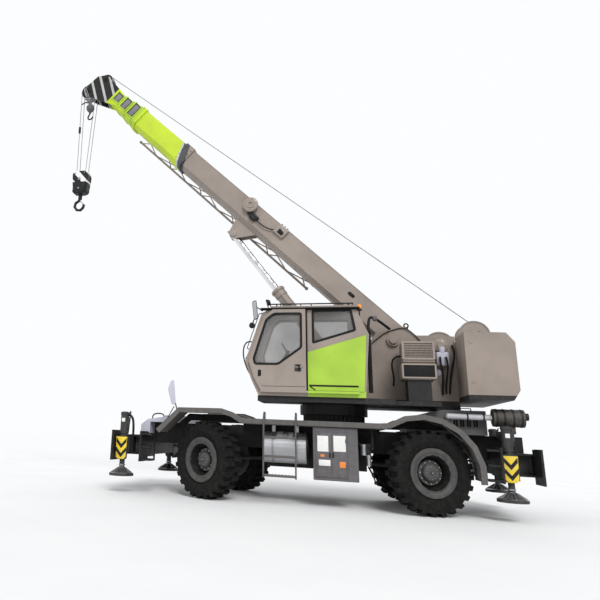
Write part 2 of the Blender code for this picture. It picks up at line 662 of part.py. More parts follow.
def counterweight_and_winches():
    outline = [(-0.66 - GAP, 1.95), (-1.36, 1.95), (-1.47, 2.12), (-1.47, 2.95), (-1.34, 3.12), (-0.66 - GAP, 3.14)]
    node("counterweight", UPPER, "body_grey", [prism(UPPER, outline, "Y", -1.22, 1.22)],
         [box(UPPER, (-1.42, -0.5), (-0.33, 0.33), (2.90, 3.4))])
    for name, x, z, reach in (("main_winch", -0.40, 3.02, CHEEK_INNER - GAP), ("aux_winch", -1.04, 3.235, 0.26)):
        solids = [
            rod(UPPER, (x, -0.19, z), (x, 0.19, z), 0.19, 20),
            rod(UPPER, (x, -reach, z), (x, reach, z), 0.06, 12),
        ]
        for side in SIDES.values():
            solids.append(rod(UPPER, (x, side * 0.185, z), (x, side * 0.215, z), 0.285, 24))
        if name == "aux_winch":
            for side in SIDES.values():
                solids.append(box(UPPER, (x - 0.13, x + 0.13), span(side, 0.245, 0.27), (2.90 + GAP, z + 0.09)))
            solids.append(box(UPPER, (x - 0.13, x + 0.13), (-0.25, 0.25), (2.90 + GAP, 2.93)))
        node(name, UPPER, "box_grey", solids)


turntable()
counterweight_and_winches()

# Cab: a hollow shell with its openings, panes, sliding door and side panel
CAB_OUTLINE = [(1.05, CAB_FLOOR), (3.00, CAB_FLOOR), (3.14, 2.22), (3.26, 2.56), (2.95, 3.48), (2.74, CAB_ROOF),
               (1.20, CAB_ROOF), (0.95, 3.08)]
DOOR_OUTLINE = [(2.10, 2.02), (2.95, 2.02), (3.08, 2.25), (3.18, 2.56), (2.90, 3.42), (2.72, 3.56), (2.10, 3.56)]
DOOR_PANE = [(2.18, 2.82), (2.62, 2.50), (3.06, 2.50), (3.09, 2.60), (2.85, 3.36), (2.70, 3.48), (2.18, 3.48)]
REAR_PANE = [(1.97, 2.92), (1.97, 3.55), (1.26, 3.55), (1.19, 3.16)]
SIDE_PANEL = [(2.07, 2.03), (2.07, 2.74), (1.00, 3.07), (1.07, 2.03)]
RIGHT_PANE = [(1.30, 2.50), (2.95, 2.50), (3.02, 2.75), (2.82, 3.38), (2.68, 3.50), (1.30, 3.50)]
WINDSCREEN = ((3.245, 2.605), (2.965, 3.435))  # low and high ends on the cab's outer face


def slanted(low, high, out, inward):
    """A quadrilateral round a stretch of a wall, from out of it to inward of it."""
    along = (Vector(high) - Vector(low)).normalized()
    normal = Vector((along.y, -along.x))
    return [tuple(Vector(low) + normal * out), tuple(Vector(high) + normal * out),
            tuple(Vector(high) - normal * inward), tuple(Vector(low) - normal * inward)]


def cab():
    wall_mid = CAB_WALL / 2
    panes = {  # name: outline across Y, or the windscreen; low and high y of the pane; y range of the cut
        "side_glass": (REAR_PANE, CAB_OUTER_Y - wall_mid - GLASS_WALL / 2, CAB_OUTER_Y - wall_mid + GLASS_WALL / 2,
                       CAB_OUTER_Y - 0.1, CAB_OUTER_Y + 0.1),
        "right_glass": (RIGHT_PANE, CAB_INNER_Y + wall_mid - GLASS_WALL / 2, CAB_INNER_Y + wall_mid + GLASS_WALL / 2,
                        CAB_INNER_Y - 0.1, CAB_INNER_Y + 0.1),
    }
    low, high = WINDSCREEN
    cuts = [
        prism(UPPER, inset(CAB_OUTLINE, CAB_WALL), "Y", CAB_INNER_Y + CAB_WALL, CAB_OUTER_Y - CAB_WALL),
        prism(UPPER, inset(DOOR_OUTLINE, 0.05), "Y", CAB_OUTER_Y - 0.1, CAB_OUTER_Y + 0.1),
        prism(UPPER, slanted(low, high, 0.1, 0.12), "Y", CAB_INNER_Y + 0.08, CAB_OUTER_Y - 0.08),
    ]
    for name, (outline, pane_low, pane_high, cut_low, cut_high) in panes.items():
        cuts.append(prism(UPPER, outline, "Y", cut_low, cut_high))
        node(name, UPPER, "glass", [prism(UPPER, inset(outline, GAP), "Y", pane_low, pane_high)])
    rail = box(UPPER, (1.16, 2.95), (CAB_OUTER_Y - 0.03, DOOR_LOW_Y + DOOR_WALL), (1.98, 2.02 - GAP))
    node("cab_shell", UPPER, "body_grey", [prism(UPPER, CAB_OUTLINE, "Y", CAB_INNER_Y, CAB_OUTER_Y), rail], cuts)
    along = (Vector(high) - Vector(low)).normalized() * GAP
    screen = slanted(tuple(Vector(low) + along), tuple(Vector(high) - along), -0.02, 0.02 + GLASS_WALL)
    node("windscreen", UPPER, "glass", [prism(UPPER, screen, "Y", CAB_INNER_Y + 0.08 + GAP, CAB_OUTER_Y - 0.08 - GAP)])
    node("side_panel", UPPER, "lime", [
        prism(UPPER, SIDE_PANEL, "Y", CAB_OUTER_Y + GAP, CAB_OUTER_Y + PANEL_WALL)])
    door = frame_at("door_slide", 2.6, DOOR_LOW_Y, 2.8, UPPER, local=False)
    node("cab_door", door, "body_grey", [
        prism(door, DOOR_OUTLINE, "Y", DOOR_LOW_Y, DOOR_LOW_Y + DOOR_WALL),
        box(door, (2.17, 2.30), (DOOR_LOW_Y + 0.02, DOOR_LOW_Y + DOOR_WALL + 0.02), (2.44, 2.48)),
    ], [prism(door, DOOR_PANE, "Y", DOOR_LOW_Y - 0.1, DOOR_LOW_Y + 0.1)])
    middle = DOOR_LOW_Y + DOOR_WALL / 2
    node("door_glass", door, "glass", [
        prism(door, inset(DOOR_PANE, GAP), "Y", middle - GLASS_WALL / 2, middle + GLASS_WALL / 2)])


def cab_inside():
    floor = CAB_FLOOR + CAB_WALL + GAP
    node("seat", UPPER, "seat_black", [
        box(UPPER, (1.62, 2.02), (0.64, 1.04), (floor, floor + 0.30), 0.02),
        box(UPPER, (1.50, 2.10), (0.58, 1.10), (floor + 0.28, floor + 0.43), 0.04),
        prism(UPPER, [(1.40, floor + 0.34), (1.60, floor + 0.36), (1.46, floor + 1.05), (1.30, floor + 1.03)],
              "Y", 0.60, 1.08),
        box(UPPER, (1.27, 1.40), (0.70, 0.98), (floor + 1.0, floor + 1.22), 0.03),
    ])
    wheel = bmesh.new()
    ring = [(2.50 + 0.19 * cos(t) * 0.5, 0.84 + 0.19 * sin(t), 2.80 + 0.19 * cos(t) * 0.866)
            for t in (2 * pi * i / 14 for i in range(14))]
    wheel.free()
    node("steering_console", UPPER, "seat_black", [
        box(UPPER, (2.55, 2.90), (0.62, 1.06), (floor, floor + 0.42), 0.03),
        tube(UPPER, [(2.74, 0.84, floor + 0.35), (2.46, 0.84, 2.825)], 0.035, 10),
        tube(UPPER, ring, 0.014, 6, closed=True),
        tube(UPPER, [ring[3], (2.5, 0.84, 2.80), ring[11]], 0.012, 6),
    ])
    roof = CAB_ROOF + GAP
    bars = [tube(UPPER, [(1.22, 0.55, roof + 0.06), (2.80, 0.55, roof + 0.06), (2.80, 1.16, roof + 0.06),
                         (1.22, 1.16, roof + 0.06)], 0.014, 6, closed=True)]
    bars += [tube(UPPER, [(x, 0.55, roof + 0.06), (x, 1.16, roof + 0.06)], 0.010, 6) for x in (2.0, 2.2, 2.4, 2.6)]
    bars += [rod(UPPER, (x, y, roof), (x, y, roof + 0.06), 0.014, 8) for x in (1.30, 2.66) for y in (0.55, 1.16)]
    node("roof_guard", UPPER, "dark", bars)


def cooler():
    slats = [box(UPPER, (-0.16, 0.35), (1.0, 1.06), (z - 0.008, z + 0.008)) for z in
             (2.70 + 0.045 * i for i in range(7))]
    node("oil_cooler", UPPER, "box_grey", [
        box(UPPER, (-0.18, 0.37), (0.46, 1.04), (2.60, 2.99), 0.012),
        box(UPPER, (-0.20, 0.40), (0.44, 1.05), (2.30, 2.585), 0.02),
        box(UPPER, (-0.14, 0.33), (0.50, 1.00), (2.5, 2.7)),
        box(UPPER, (-0.10, 0.30), (0.50, 1.00), (FLOOR_TOP + GAP, 2.4)),
    ] + [box(UPPER, (-0.19, -0.15), (1.03, 1.06), (2.66, 2.99)), box(UPPER, (0.34, 0.38), (1.03, 1.06), (2.66, 2.99))]
        + slats)


cab()
cab_inside()
cooler()

# Boom sections: nested tubes, each on its own slide
BOOM_SECTION = [(BOOM_HALF, BOOM_TOP), (-BOOM_HALF, BOOM_TOP), (-BOOM_HALF, BOOM_LOW + BOOM_CHAMFER),
                (-BOOM_HALF + BOOM_CHAMFER, BOOM_LOW), (BOOM_HALF - BOOM_CHAMFER, BOOM_LOW),
                (BOOM_HALF, BOOM_LOW + BOOM_CHAMFER)]


def section_outline(number):
    """Section 1 is the base; each next one is smaller by a wall and its play."""
    return inset(BOOM_SECTION, (number - 1) * (SECTION_WALL + SECTION_PLAY))


def bores(frame, outer, start, end):
    """The hollow of a tube, and the closer fit of its last stretch, where the next section slides."""
    return [prism(frame, inset(outer, SECTION_WALL), "X", start, end - 0.25),
            prism(frame, inset(outer, SECTION_WALL + SECTION_PLAY - GAP), "X", end - 0.30, end + 0.1)]


def boom_base():
    outer = section_outline(1)
    underside = BOOM_LOW + 0.01
    eye_z = BOOM_LOW - EYE_DROP
    solids = [
        prism(BOOM, outer, "X", BOOM_TAIL, BASE_END),
        prism(BOOM, inset(outer, -0.035), "X", COLLAR_START, COLLAR_END),
        prism(BOOM, inset(outer, -0.030), "X", BASE_END - 0.16, BASE_END - 0.01),
        rod(BOOM, (4.22, BOOM_HALF - 0.01, 0.22), (4.22, BOOM_HALF + 0.11, 0.22), 0.145, 20),
        rod(BOOM, (0, -CHEEK_INNER + GAP, 0), (0, CHEEK_INNER - GAP, 0), 0.11, 18),
    ]
    for side in SIDES.values():
        ear = [(EYE_ALONG - 0.42, underside), (EYE_ALONG + 0.22, underside), (EYE_ALONG + 0.10, eye_z - 0.06),
               (EYE_ALONG, eye_z - 0.10), (EYE_ALONG - 0.10, eye_z - 0.06)]
        solids.append(prism(BOOM, ear, "Y", *span(side, 0.088, 0.128)))
    node("boom_base", BOOM, "body_grey", solids, bores(BOOM, outer, 0.22, BASE_END))


def boom_section(number, holder, name):
    """A sliding section: a tube with a proud collar at its outer end."""
    slide = Frame("section_slide_%d" % number, BOOM.world, holder, BOOM.drawing)
    outer = section_outline(number)
    end = BASE_END + SECTION_STEP * (number - 1)
    solids = [
        prism(slide, outer, "X", SECTION_TAIL, end),
        prism(slide, inset(outer, -0.022), "X", end - SECTION_STEP + 0.012, end - 0.02),
    ]
    return slide, solids, bores(slide, outer, SECTION_TAIL - 0.1, end), name


def boom_sections():
    holder = BOOM
    for number, name in ((2, "boom_section_2"), (3, "boom_section_3")):
        slide, solids, cuts, name = boom_section(number, holder, name)
        node(name, slide, "lime", solids, cuts)
        holder = slide
    slide, solids, cuts, name = boom_section(4, holder, "boom_head")
    start = BASE_END + SECTION_STEP * 2 + 0.10
    end = BASE_END + SECTION_STEP * 3
    cheek = [(start, -0.08), (start, 0.30), (end + 0.20, 0.36), (end + 0.62, 0.40), (end + 0.80, 0.22),
             (end + 0.84, -0.22), (end + 0.70, -0.36), (end + 0.40, -0.30)]
    for side in SIDES.values():
        solids.append(prism(slide, cheek, "Y", *span(side, 0.135, 0.165)))
    for along, up, radius in ((HEAD_SHEAVE_ALONG, HEAD_SHEAVE_DROP, 0.19), (end + 0.55, 0.30, 0.16)):
        solids.append(rod(slide, (along, -0.15, up), (along, 0.15, up), 0.05, 12))
        for y in (-0.085, 0, 0.085):
            solids.append(rod(slide, (along, y - 0.030, up), (along, y + 0.030, up), radius, 16))
    node(name, slide, "lime", solids, cuts)
    return slide


def hook_block(head):
    x, z = boom_place(HEAD_SHEAVE_ALONG, HEAD_SHEAVE_DROP)
    swing = frame_at("hook_swing", x, 0, z, head, local=False)
    tangent = 0.19 + 0.010 + GAP
    block_top = z - FALLS_LENGTH
    solids = [box(swing, (x - 0.20, x + 0.20), (-0.13, 0.13), (block_top - BLOCK_HEIGHT, block_top), 0.05)]
    for side in SIDES.values():
        for step in (-1, 1):
            solids.append(rod(swing, (x + 0.12 * step, side * 0.085, block_top - 0.05),
                              (x + tangent * step, side * 0.085, z), 0.010, 6))
    low = block_top - BLOCK_HEIGHT
    solids.append(rod(swing, (x, 0, low + 0.03), (x, 0, low - 0.14), 0.05, 12))
    hook = [(x + dx, 0, low - 0.12 + dz) for dx, dz in
            ((0, 0.02), (0.02, -0.06), (0.11, -0.12), (0.13, -0.22), (0.06, -0.31), (-0.04, -0.32), (-0.11, -0.25),
             (-0.12, -0.17))]
    solids.append(tube(swing, hook, 0.036, 8))
    node("hook_block", swing, "dark", solids)


def luff_cylinder():
    eye_x, eye_z = boom_place(EYE_ALONG, BOOM_LOW - EYE_DROP)
    angle = atan2(eye_z - FOOT_Z, eye_x - FOOT_X) * 180 / pi
    length = hypot(eye_z - FOOT_Z, eye_x - FOOT_X)
    barrel = frame_at("cylinder_foot", FOOT_X, 0, FOOT_Z, UPPER, turn_y=angle)
    ram = Frame("cylinder_rod", barrel.world, barrel)
    barrel_end = 2.62
    node("luff_barrel", barrel, "body_grey", [
        rod(barrel, (0.06, 0, 0), (barrel_end, 0, 0), 0.125, 20),
        rod(barrel, (barrel_end - 0.16, 0, 0), (barrel_end + 0.03, 0, 0), 0.14, 20),
        rod(barrel, (0, -0.135 + GAP, 0), (0, 0.135 - GAP, 0), 0.11, 18),
    ], [rod(barrel, (0.30, 0, 0), (barrel_end - 0.10, 0, 0), 0.082, 20),
        rod(barrel, (0.40, 0, 0), (barrel_end + 0.1, 0, 0), 0.075 + GAP, 20)])
    node("luff_rod", ram, "chrome", [
        rod(ram, (barrel_end - 1.3, 0, 0), (length - 0.03, 0, 0), 0.075, 20),
        rod(ram, (length, -0.088 + GAP, 0), (length, 0.088 - GAP, 0), 0.082, 18),
    ])


def jib():
    """The stowed swing-away jib: three chords and zigzag lacing, hung on the boom's right side."""
    start, end, bays = 2.1, 7.9, 10
    corners = {"upper": (-0.31, 0.10), "lower": (-0.31, -0.28), "outer": (-0.56, -0.09)}
    solids = [rod(BOOM, (start, y, z), (end, y, z), 0.026, 6) for y, z in corners.values()]
    pitch = (end - start - 0.1) / bays
    names = list(corners)
    for bay in range(bays):
        for first, second in zip(names, names[1:] + names[:1]):
            a, b = (first, second) if bay % 2 else (second, first)
            x0 = start + 0.05 + pitch * bay
            solids.append(rod(BOOM, (x0, *corners[a]), (x0 + pitch, *corners[b]), 0.013, 4))
    for along in (2.9, 6.9):
        solids.append(box(BOOM, (along - 0.05, along + 0.05), (-0.31, -BOOM_HALF - GAP), (0.02, 0.12)))
    node("swing_jib", BOOM, "body_grey", solids)


boom_base()
HEAD = boom_sections()
hook_block(HEAD)
luff_cylinder()
jib()
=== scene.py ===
# %% [markdown]
# # A rough terrain crane, dressed
# The imported model gives every rigid form: chassis, wheels, outriggers, cab, boom and hook. This lesson
# adds what a painter and a fitter would add: finishes with dust and wear, glass seals, mirrors, lamps,
# wheel nuts, ropes, hoses and hazard stripes. Every new piece but the rope rides on the body that carries
# it, so the machine can still steer, slew, raise its boom and slide out its sections.

# %% Tools and the imported frame
import json
from math import atan2, cos, pi, radians, sin

import bmesh
import bpy
from mathutils import Matrix, Vector

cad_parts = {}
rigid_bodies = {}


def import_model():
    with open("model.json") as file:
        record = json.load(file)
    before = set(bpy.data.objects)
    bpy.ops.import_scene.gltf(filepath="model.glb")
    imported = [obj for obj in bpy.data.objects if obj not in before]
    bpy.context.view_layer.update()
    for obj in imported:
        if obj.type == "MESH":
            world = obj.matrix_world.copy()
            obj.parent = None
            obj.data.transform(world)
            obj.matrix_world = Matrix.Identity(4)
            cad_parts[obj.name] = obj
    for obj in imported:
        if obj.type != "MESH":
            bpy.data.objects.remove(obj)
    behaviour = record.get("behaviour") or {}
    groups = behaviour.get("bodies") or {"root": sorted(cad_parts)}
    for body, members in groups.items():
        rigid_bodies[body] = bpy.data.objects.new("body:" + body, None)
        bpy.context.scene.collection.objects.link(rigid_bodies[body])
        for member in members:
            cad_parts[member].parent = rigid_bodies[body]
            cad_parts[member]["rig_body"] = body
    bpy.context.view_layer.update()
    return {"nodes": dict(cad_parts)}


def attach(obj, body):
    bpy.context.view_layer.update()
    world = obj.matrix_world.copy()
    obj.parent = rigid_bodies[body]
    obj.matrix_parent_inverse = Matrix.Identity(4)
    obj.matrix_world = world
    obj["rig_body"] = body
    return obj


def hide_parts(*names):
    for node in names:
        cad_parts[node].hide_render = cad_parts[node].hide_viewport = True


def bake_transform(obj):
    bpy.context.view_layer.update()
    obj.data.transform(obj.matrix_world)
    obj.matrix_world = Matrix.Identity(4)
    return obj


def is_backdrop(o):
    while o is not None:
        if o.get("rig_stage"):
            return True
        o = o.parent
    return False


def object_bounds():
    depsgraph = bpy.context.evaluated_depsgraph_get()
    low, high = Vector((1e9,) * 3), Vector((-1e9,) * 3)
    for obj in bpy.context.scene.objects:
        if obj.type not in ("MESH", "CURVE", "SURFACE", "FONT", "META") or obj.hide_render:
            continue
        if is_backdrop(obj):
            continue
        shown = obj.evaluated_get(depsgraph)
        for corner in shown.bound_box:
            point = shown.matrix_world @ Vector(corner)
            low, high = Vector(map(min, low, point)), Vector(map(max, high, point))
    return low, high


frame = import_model()

# %% [markdown]
# ## Where things are
# Lengths are easiest to think of from the rear axle, with X forward, Y to the cab's side and Z up, so
# pieces are drawn there and placed by `MACHINE`. The boom has a frame of its own: X runs along it from
# the pivot pin, and Z points away from its top. A wheel's frame has its Z out along the spindle.

# %% Places to draw in
def moved(place):
    return Matrix.Translation(place)


def turned(angle, axis):
    return Matrix.Rotation(angle, 4, axis)


def facing(centre, direction):
    """A placing matrix whose Z axis points in a direction."""
    return moved(centre) @ Vector(direction).to_track_quat("Z", "Y").to_matrix().to_4x4()


HERE = Matrix.Identity(4)
MACHINE = moved((-3.1225, 0, 0))
PIVOT_X, PIVOT_Z, BOOM_ANGLE = 0.46, 3.12, radians(44)
BOOM = MACHINE @ moved((PIVOT_X, 0, PIVOT_Z)) @ turned(-BOOM_ANGLE, "Y")
AXLES = {"front": (3.85, radians(-31)), "rear": (0.15, radians(19))}  # place, and steering in the photo
KINGPIN_Y, WHEEL_OFFSET, HUB_HEIGHT = 0.86, 0.265, 0.70
SIDES = {"left": 1, "right": -1}
CORNERS = [(end + "_" + name, end, side) for end in AXLES for name, side in SIDES.items()]


def wheel_frame(end, side):
    """The place of a wheel's middle, with Z outwards along its spindle."""
    axle_x, steer = AXLES[end]
    pin = MACHINE @ moved((axle_x, side * KINGPIN_Y, HUB_HEIGHT)) @ turned(steer, "Z")
    return pin @ moved((0, side * WHEEL_OFFSET, 0)) @ turned(0 if side > 0 else pi, "Z") @ turned(-pi / 2, "X")


print("corners", [tag for tag, end, side in CORNERS])

# %% [markdown]
# ## The stand of the camera
# The photographer stood level with the wheels on the cab's side, a little ahead of the machine, and the
# frame was cropped afterwards. A small lens shift stands for the crop, and the camera is rolled a few
# degrees, as a camera held in the hand is.

# %% Camera
RIGHT = Vector((-0.96263, -0.26709, 0.04472))
DOWN = Vector((0.03081, -0.27207, -0.96178))
FORWARD = Vector((0.26905, -0.92447, 0.27013))
STAND, FOCAL_PIXELS, PHOTO_PIXELS = (1.424, 12.38, 1.193), 574.2, 600
scene = bpy.context.scene
camera = bpy.data.objects.new("camera", bpy.data.cameras.new("camera"))
scene.collection.objects.link(camera)
camera.matrix_world = MACHINE @ moved(STAND) @ Matrix((RIGHT, -DOWN, -FORWARD)).transposed().to_4x4()
camera.data.sensor_width = 36
camera.data.lens = 36 * FOCAL_PIXELS / PHOTO_PIXELS
camera.data.shift_x, camera.data.shift_y = 0.2, -0.05
camera.data.clip_end = 200
scene.camera = camera
print("lens", round(camera.data.lens, 2))

# %% [markdown]
# ## Studio light
# Paint shows best in one broad light from the front and a soft sky all round. The sky is kept under full
# strength for the machine and is white for the camera, and the floor is pale, so the object stands on a
# plain ground with its own shadow.

# %% Node helpers
def add(tree, kind, operation=None, **inputs):
    """A new node with some of its inputs set or linked; _0, _1 stand for numbered inputs."""
    made = tree.nodes.new("ShaderNode" + kind)
    if operation:
        made.operation = operation
    for name, value in inputs.items():
        socket = made.inputs[int(name[1:]) if name[1:].isdigit() else name.replace("_", " ")]
        if isinstance(value, bpy.types.NodeSocket):
            tree.links.new(value, socket)
        else:
            socket.default_value = value
    return made


def ramp(tree, value, low, high, to_low=0.0, to_high=1.0):
    made = add(tree, "MapRange", Value=value, From_Min=low, From_Max=high, To_Min=to_low, To_Max=to_high)
    return made.outputs["Result"]


# %% Sky
SKY_FOR_MACHINE, SKY_FOR_CAMERA, FLOOR_HALF = 0.62, 1.0, 70
scene.view_settings.view_transform = "Standard"
scene.world = bpy.data.worlds.new("sky")
scene.world.use_nodes = True
tree = scene.world.node_tree
paths = add(tree, "LightPath").outputs
seen = add(tree, "Math", "MAXIMUM", _0=paths["Is Camera Ray"], _1=paths["Is Transmission Ray"]).outputs[0]
sky = tree.nodes["Background"].inputs
tree.links.new(ramp(tree, seen, 0.0, 1.0, SKY_FOR_MACHINE, SKY_FOR_CAMERA), sky["Strength"])
sky["Color"].default_value = (0.97, 0.985, 1, 1)
print("sky", SKY_FOR_MACHINE, "for the machine and", SKY_FOR_CAMERA, "for the camera")

# %% Lamps and floor
LAMPS = (  # name, strength, softness in degrees, direction that it shines in
    ("key", 2.1, 24, (0.35, -0.85, -0.75)),
    ("fill", 0.6, 60, (-0.8, -0.5, -0.25)),
    ("back", 0.5, 60, (0.2, 0.9, -0.5)),
)
for name, power, softness, direction in LAMPS:
    lamp = bpy.data.objects.new(name, bpy.data.lights.new(name, "SUN"))
    scene.collection.objects.link(lamp)
    lamp.data.energy, lamp.data.angle = power, radians(softness)
    lamp.rotation_mode = "QUATERNION"
    lamp.rotation_quaternion = Vector(direction).to_track_quat("-Z", "Y")

bench = bmesh.new()  # every shape is drawn on this bench, and cleared from it when its piece is done
bmesh.ops.create_grid(bench, x_segments=1, y_segments=1, size=FLOOR_HALF)
floor = bpy.data.objects.new("floor", bpy.data.meshes.new("floor"))
bench.to_mesh(floor.data)
bench.clear()
scene.collection.objects.link(floor)
floor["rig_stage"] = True
print("lamps", len(LAMPS))

# %% [markdown]
# ## Finishes
# A working machine's paint is never one colour. Three things are laid over each base colour: a slow
# drift of shade, pale dust that gathers low down, and fine speckle. The same noise also varies the
# roughness, and a very fine one gives the slight orange peel of sprayed paint. Everything reads Object
# coordinates, so that the pattern stays on its piece when the piece moves.

# %% Noise, mixing and a new material
DUST, SHADE = (0.42, 0.39, 0.34), (0.01, 0.01, 0.01)


def noise(tree, place, scale, detail=4.0, stretch=None):
    if stretch:
        place = add(tree, "Mapping", Vector=place, Scale=stretch).outputs[0]
    return add(tree, "TexNoise", Vector=place, Scale=scale, Detail=detail).outputs["Fac"]


def mix(tree, amount, first, second):
    made = tree.nodes.new("ShaderNodeMix")
    made.data_type = "RGBA"
    for number, value in ((0, amount), (6, first), (7, second)):
        if isinstance(value, bpy.types.NodeSocket):
            tree.links.new(value, made.inputs[number])
        else:
            made.inputs[number].default_value = (*value, 1) if isinstance(value, tuple) else value
    return made.outputs[2]


def new_material(name):
    made = bpy.data.materials.new(name)
    made.use_nodes = True
    tree = made.node_tree
    return made, tree, tree.nodes["Principled BSDF"].inputs, add(tree, "TexCoord").outputs["Object"]


# %% A worn finish
def worn(name, colour, roughness, metallic=0.0, dust=0.1, coat=0.0, grain=260, bump=0.1, gloss=0.5):
    """Paint, rubber or metal with shade drift, dust below and a fine grain; a function may pick its colour."""
    made, tree, shader, place = new_material(name)
    base = colour(tree, place) if callable(colour) else colour
    dark = mix(tree, 0.22, base, SHADE)
    base = mix(tree, ramp(tree, noise(tree, place, 1.7), 0.35, 0.75), base, dark)
    streaks = ramp(tree, noise(tree, place, 3.0, stretch=(3.0, 3.0, 0.35)), 0.55, 0.8, 0, min(0.35, dust))
    height = add(tree, "SeparateXYZ", Vector=place).outputs["Z"]
    specks = ramp(tree, noise(tree, place, 14.0, 8.0), 0.38, 0.72)
    cover = add(tree, "Math", "MULTIPLY", _0=ramp(tree, height, 0.0, 2.6, 1.0, 0.18), _1=specks).outputs[0]
    cover = add(tree, "Math", "MULTIPLY", _0=cover, _1=dust).outputs[0]
    base = mix(tree, streaks, base, mix(tree, 0.5, base, DUST))
    tree.links.new(mix(tree, cover, base, DUST), shader["Base Color"])
    tree.links.new(ramp(tree, specks, 0, 1, roughness, min(1.0, roughness + 0.22)), shader["Roughness"])
    shader["Metallic"].default_value = metallic
    shader["Coat Weight"].default_value = coat
    shader["Specular IOR Level"].default_value = gloss
    peel = add(tree, "Bump", Height=noise(tree, place, grain, 2.0), Strength=bump, Distance=0.002)
    tree.links.new(peel.outputs["Normal"], shader["Normal"])
    return made


print("dust", DUST, "shade", SHADE)

# %% [markdown]
# Several pieces carry more than one colour. The boom's base is warm grey up to a slanted dark band and
# yellow-green beyond it, so the colour is picked by the distance along the boom. Striped pieces work
# the same way: the distance is folded by its remainder, and each part of the fold gets one colour.

# %% Colours picked by place
GREY = (0.278, 0.232, 0.200)
LIME = (0.50, 0.66, 0.015)
# a darker copy of LIME, painted as shade on the side panel, the collar flanges and the cab's sill
SHADED_LIME = (0.345, 0.545, 0.035)
CHARCOAL = (0.050, 0.053, 0.060)
BLACK = (0.012, 0.012, 0.013)
YELLOW = (0.80, 0.58, 0.02)
WHITE = (0.78, 0.78, 0.76)
SILVER = (0.55, 0.56, 0.58)
X, Y, UP = (1, 0, 0), (0, 1, 0), (0, 0, 1)
ALONG = (cos(BOOM_ANGLE), 0, sin(BOOM_ANGLE))
PIVOT = BOOM.translation


def past(tree, place, direction, distance, origin=(0, 0, 0), pitch=None):
    """1 past a distance along a direction, or past that part of every pitch, and 0 before it."""
    dot = add(tree, "VectorMath", "DOT_PRODUCT", _0=place, _1=direction).outputs["Value"]
    along = add(tree, "Math", "SUBTRACT", _0=dot, _1=Vector(direction).dot(Vector(origin))).outputs[0]
    if pitch:
        along = add(tree, "Math", "FLOORED_MODULO", _0=along, _1=pitch).outputs[0]
    return add(tree, "Math", "GREATER_THAN", _0=along, _1=distance).outputs[0]


def split(direction, distance, first, second, origin=(0, 0, 0), pitch=None):
    """One colour before a distance along a direction and another past it."""
    return lambda tree, place: mix(tree, past(tree, place, direction, distance, origin, pitch), first, second)


def boom_colours(tree, place):
    """Warm grey, a slanted dark band with a pale line, then yellow-green."""
    slant, colour = Vector(ALONG) - 0.5 * Vector((-sin(BOOM_ANGLE), 0, cos(BOOM_ANGLE))), GREY
    for start, following in ((6.26, CHARCOAL), (6.46, (0.52, 0.51, 0.47)), (6.51, LIME)):
        colour = mix(tree, past(tree, place, slant, start, PIVOT), colour, following)
    return colour


def head_colours_and_highlights(tree, place):
    """Yellow-green collar, then dark cheeks with pale slanted bands painted on as highlights."""
    cheeks = split((0.96, 0, -0.28), 0.185, BLACK, (0.46, 0.45, 0.43), PIVOT, 0.25)(tree, place)
    return split(ALONG, 9.225, LIME, cheeks, PIVOT)(tree, place)


def cab_colours(tree, place):
    """Yellow-green along the sill behind the door, in the darker copy painted as shade; warm grey elsewhere."""
    sill = split(X, 2.07, SHADED_LIME, GREY, MACHINE.translation)(tree, place)
    return split(UP, 2.035, sill, GREY)(tree, place)


def block_colours(tree, place):
    """Slanted stripes on the upper part of the hook block, dark below them, and grey rope above."""
    stripes = split((0.74, 0, -0.67), 0.13, WHITE, BLACK, pitch=0.26)(tree, place)
    return split(UP, 7.54, split(UP, 7.20, BLACK, stripes)(tree, place), (0.33, 0.325, 0.32))(tree, place)


print("boom direction", [round(share, 3) for share in ALONG])
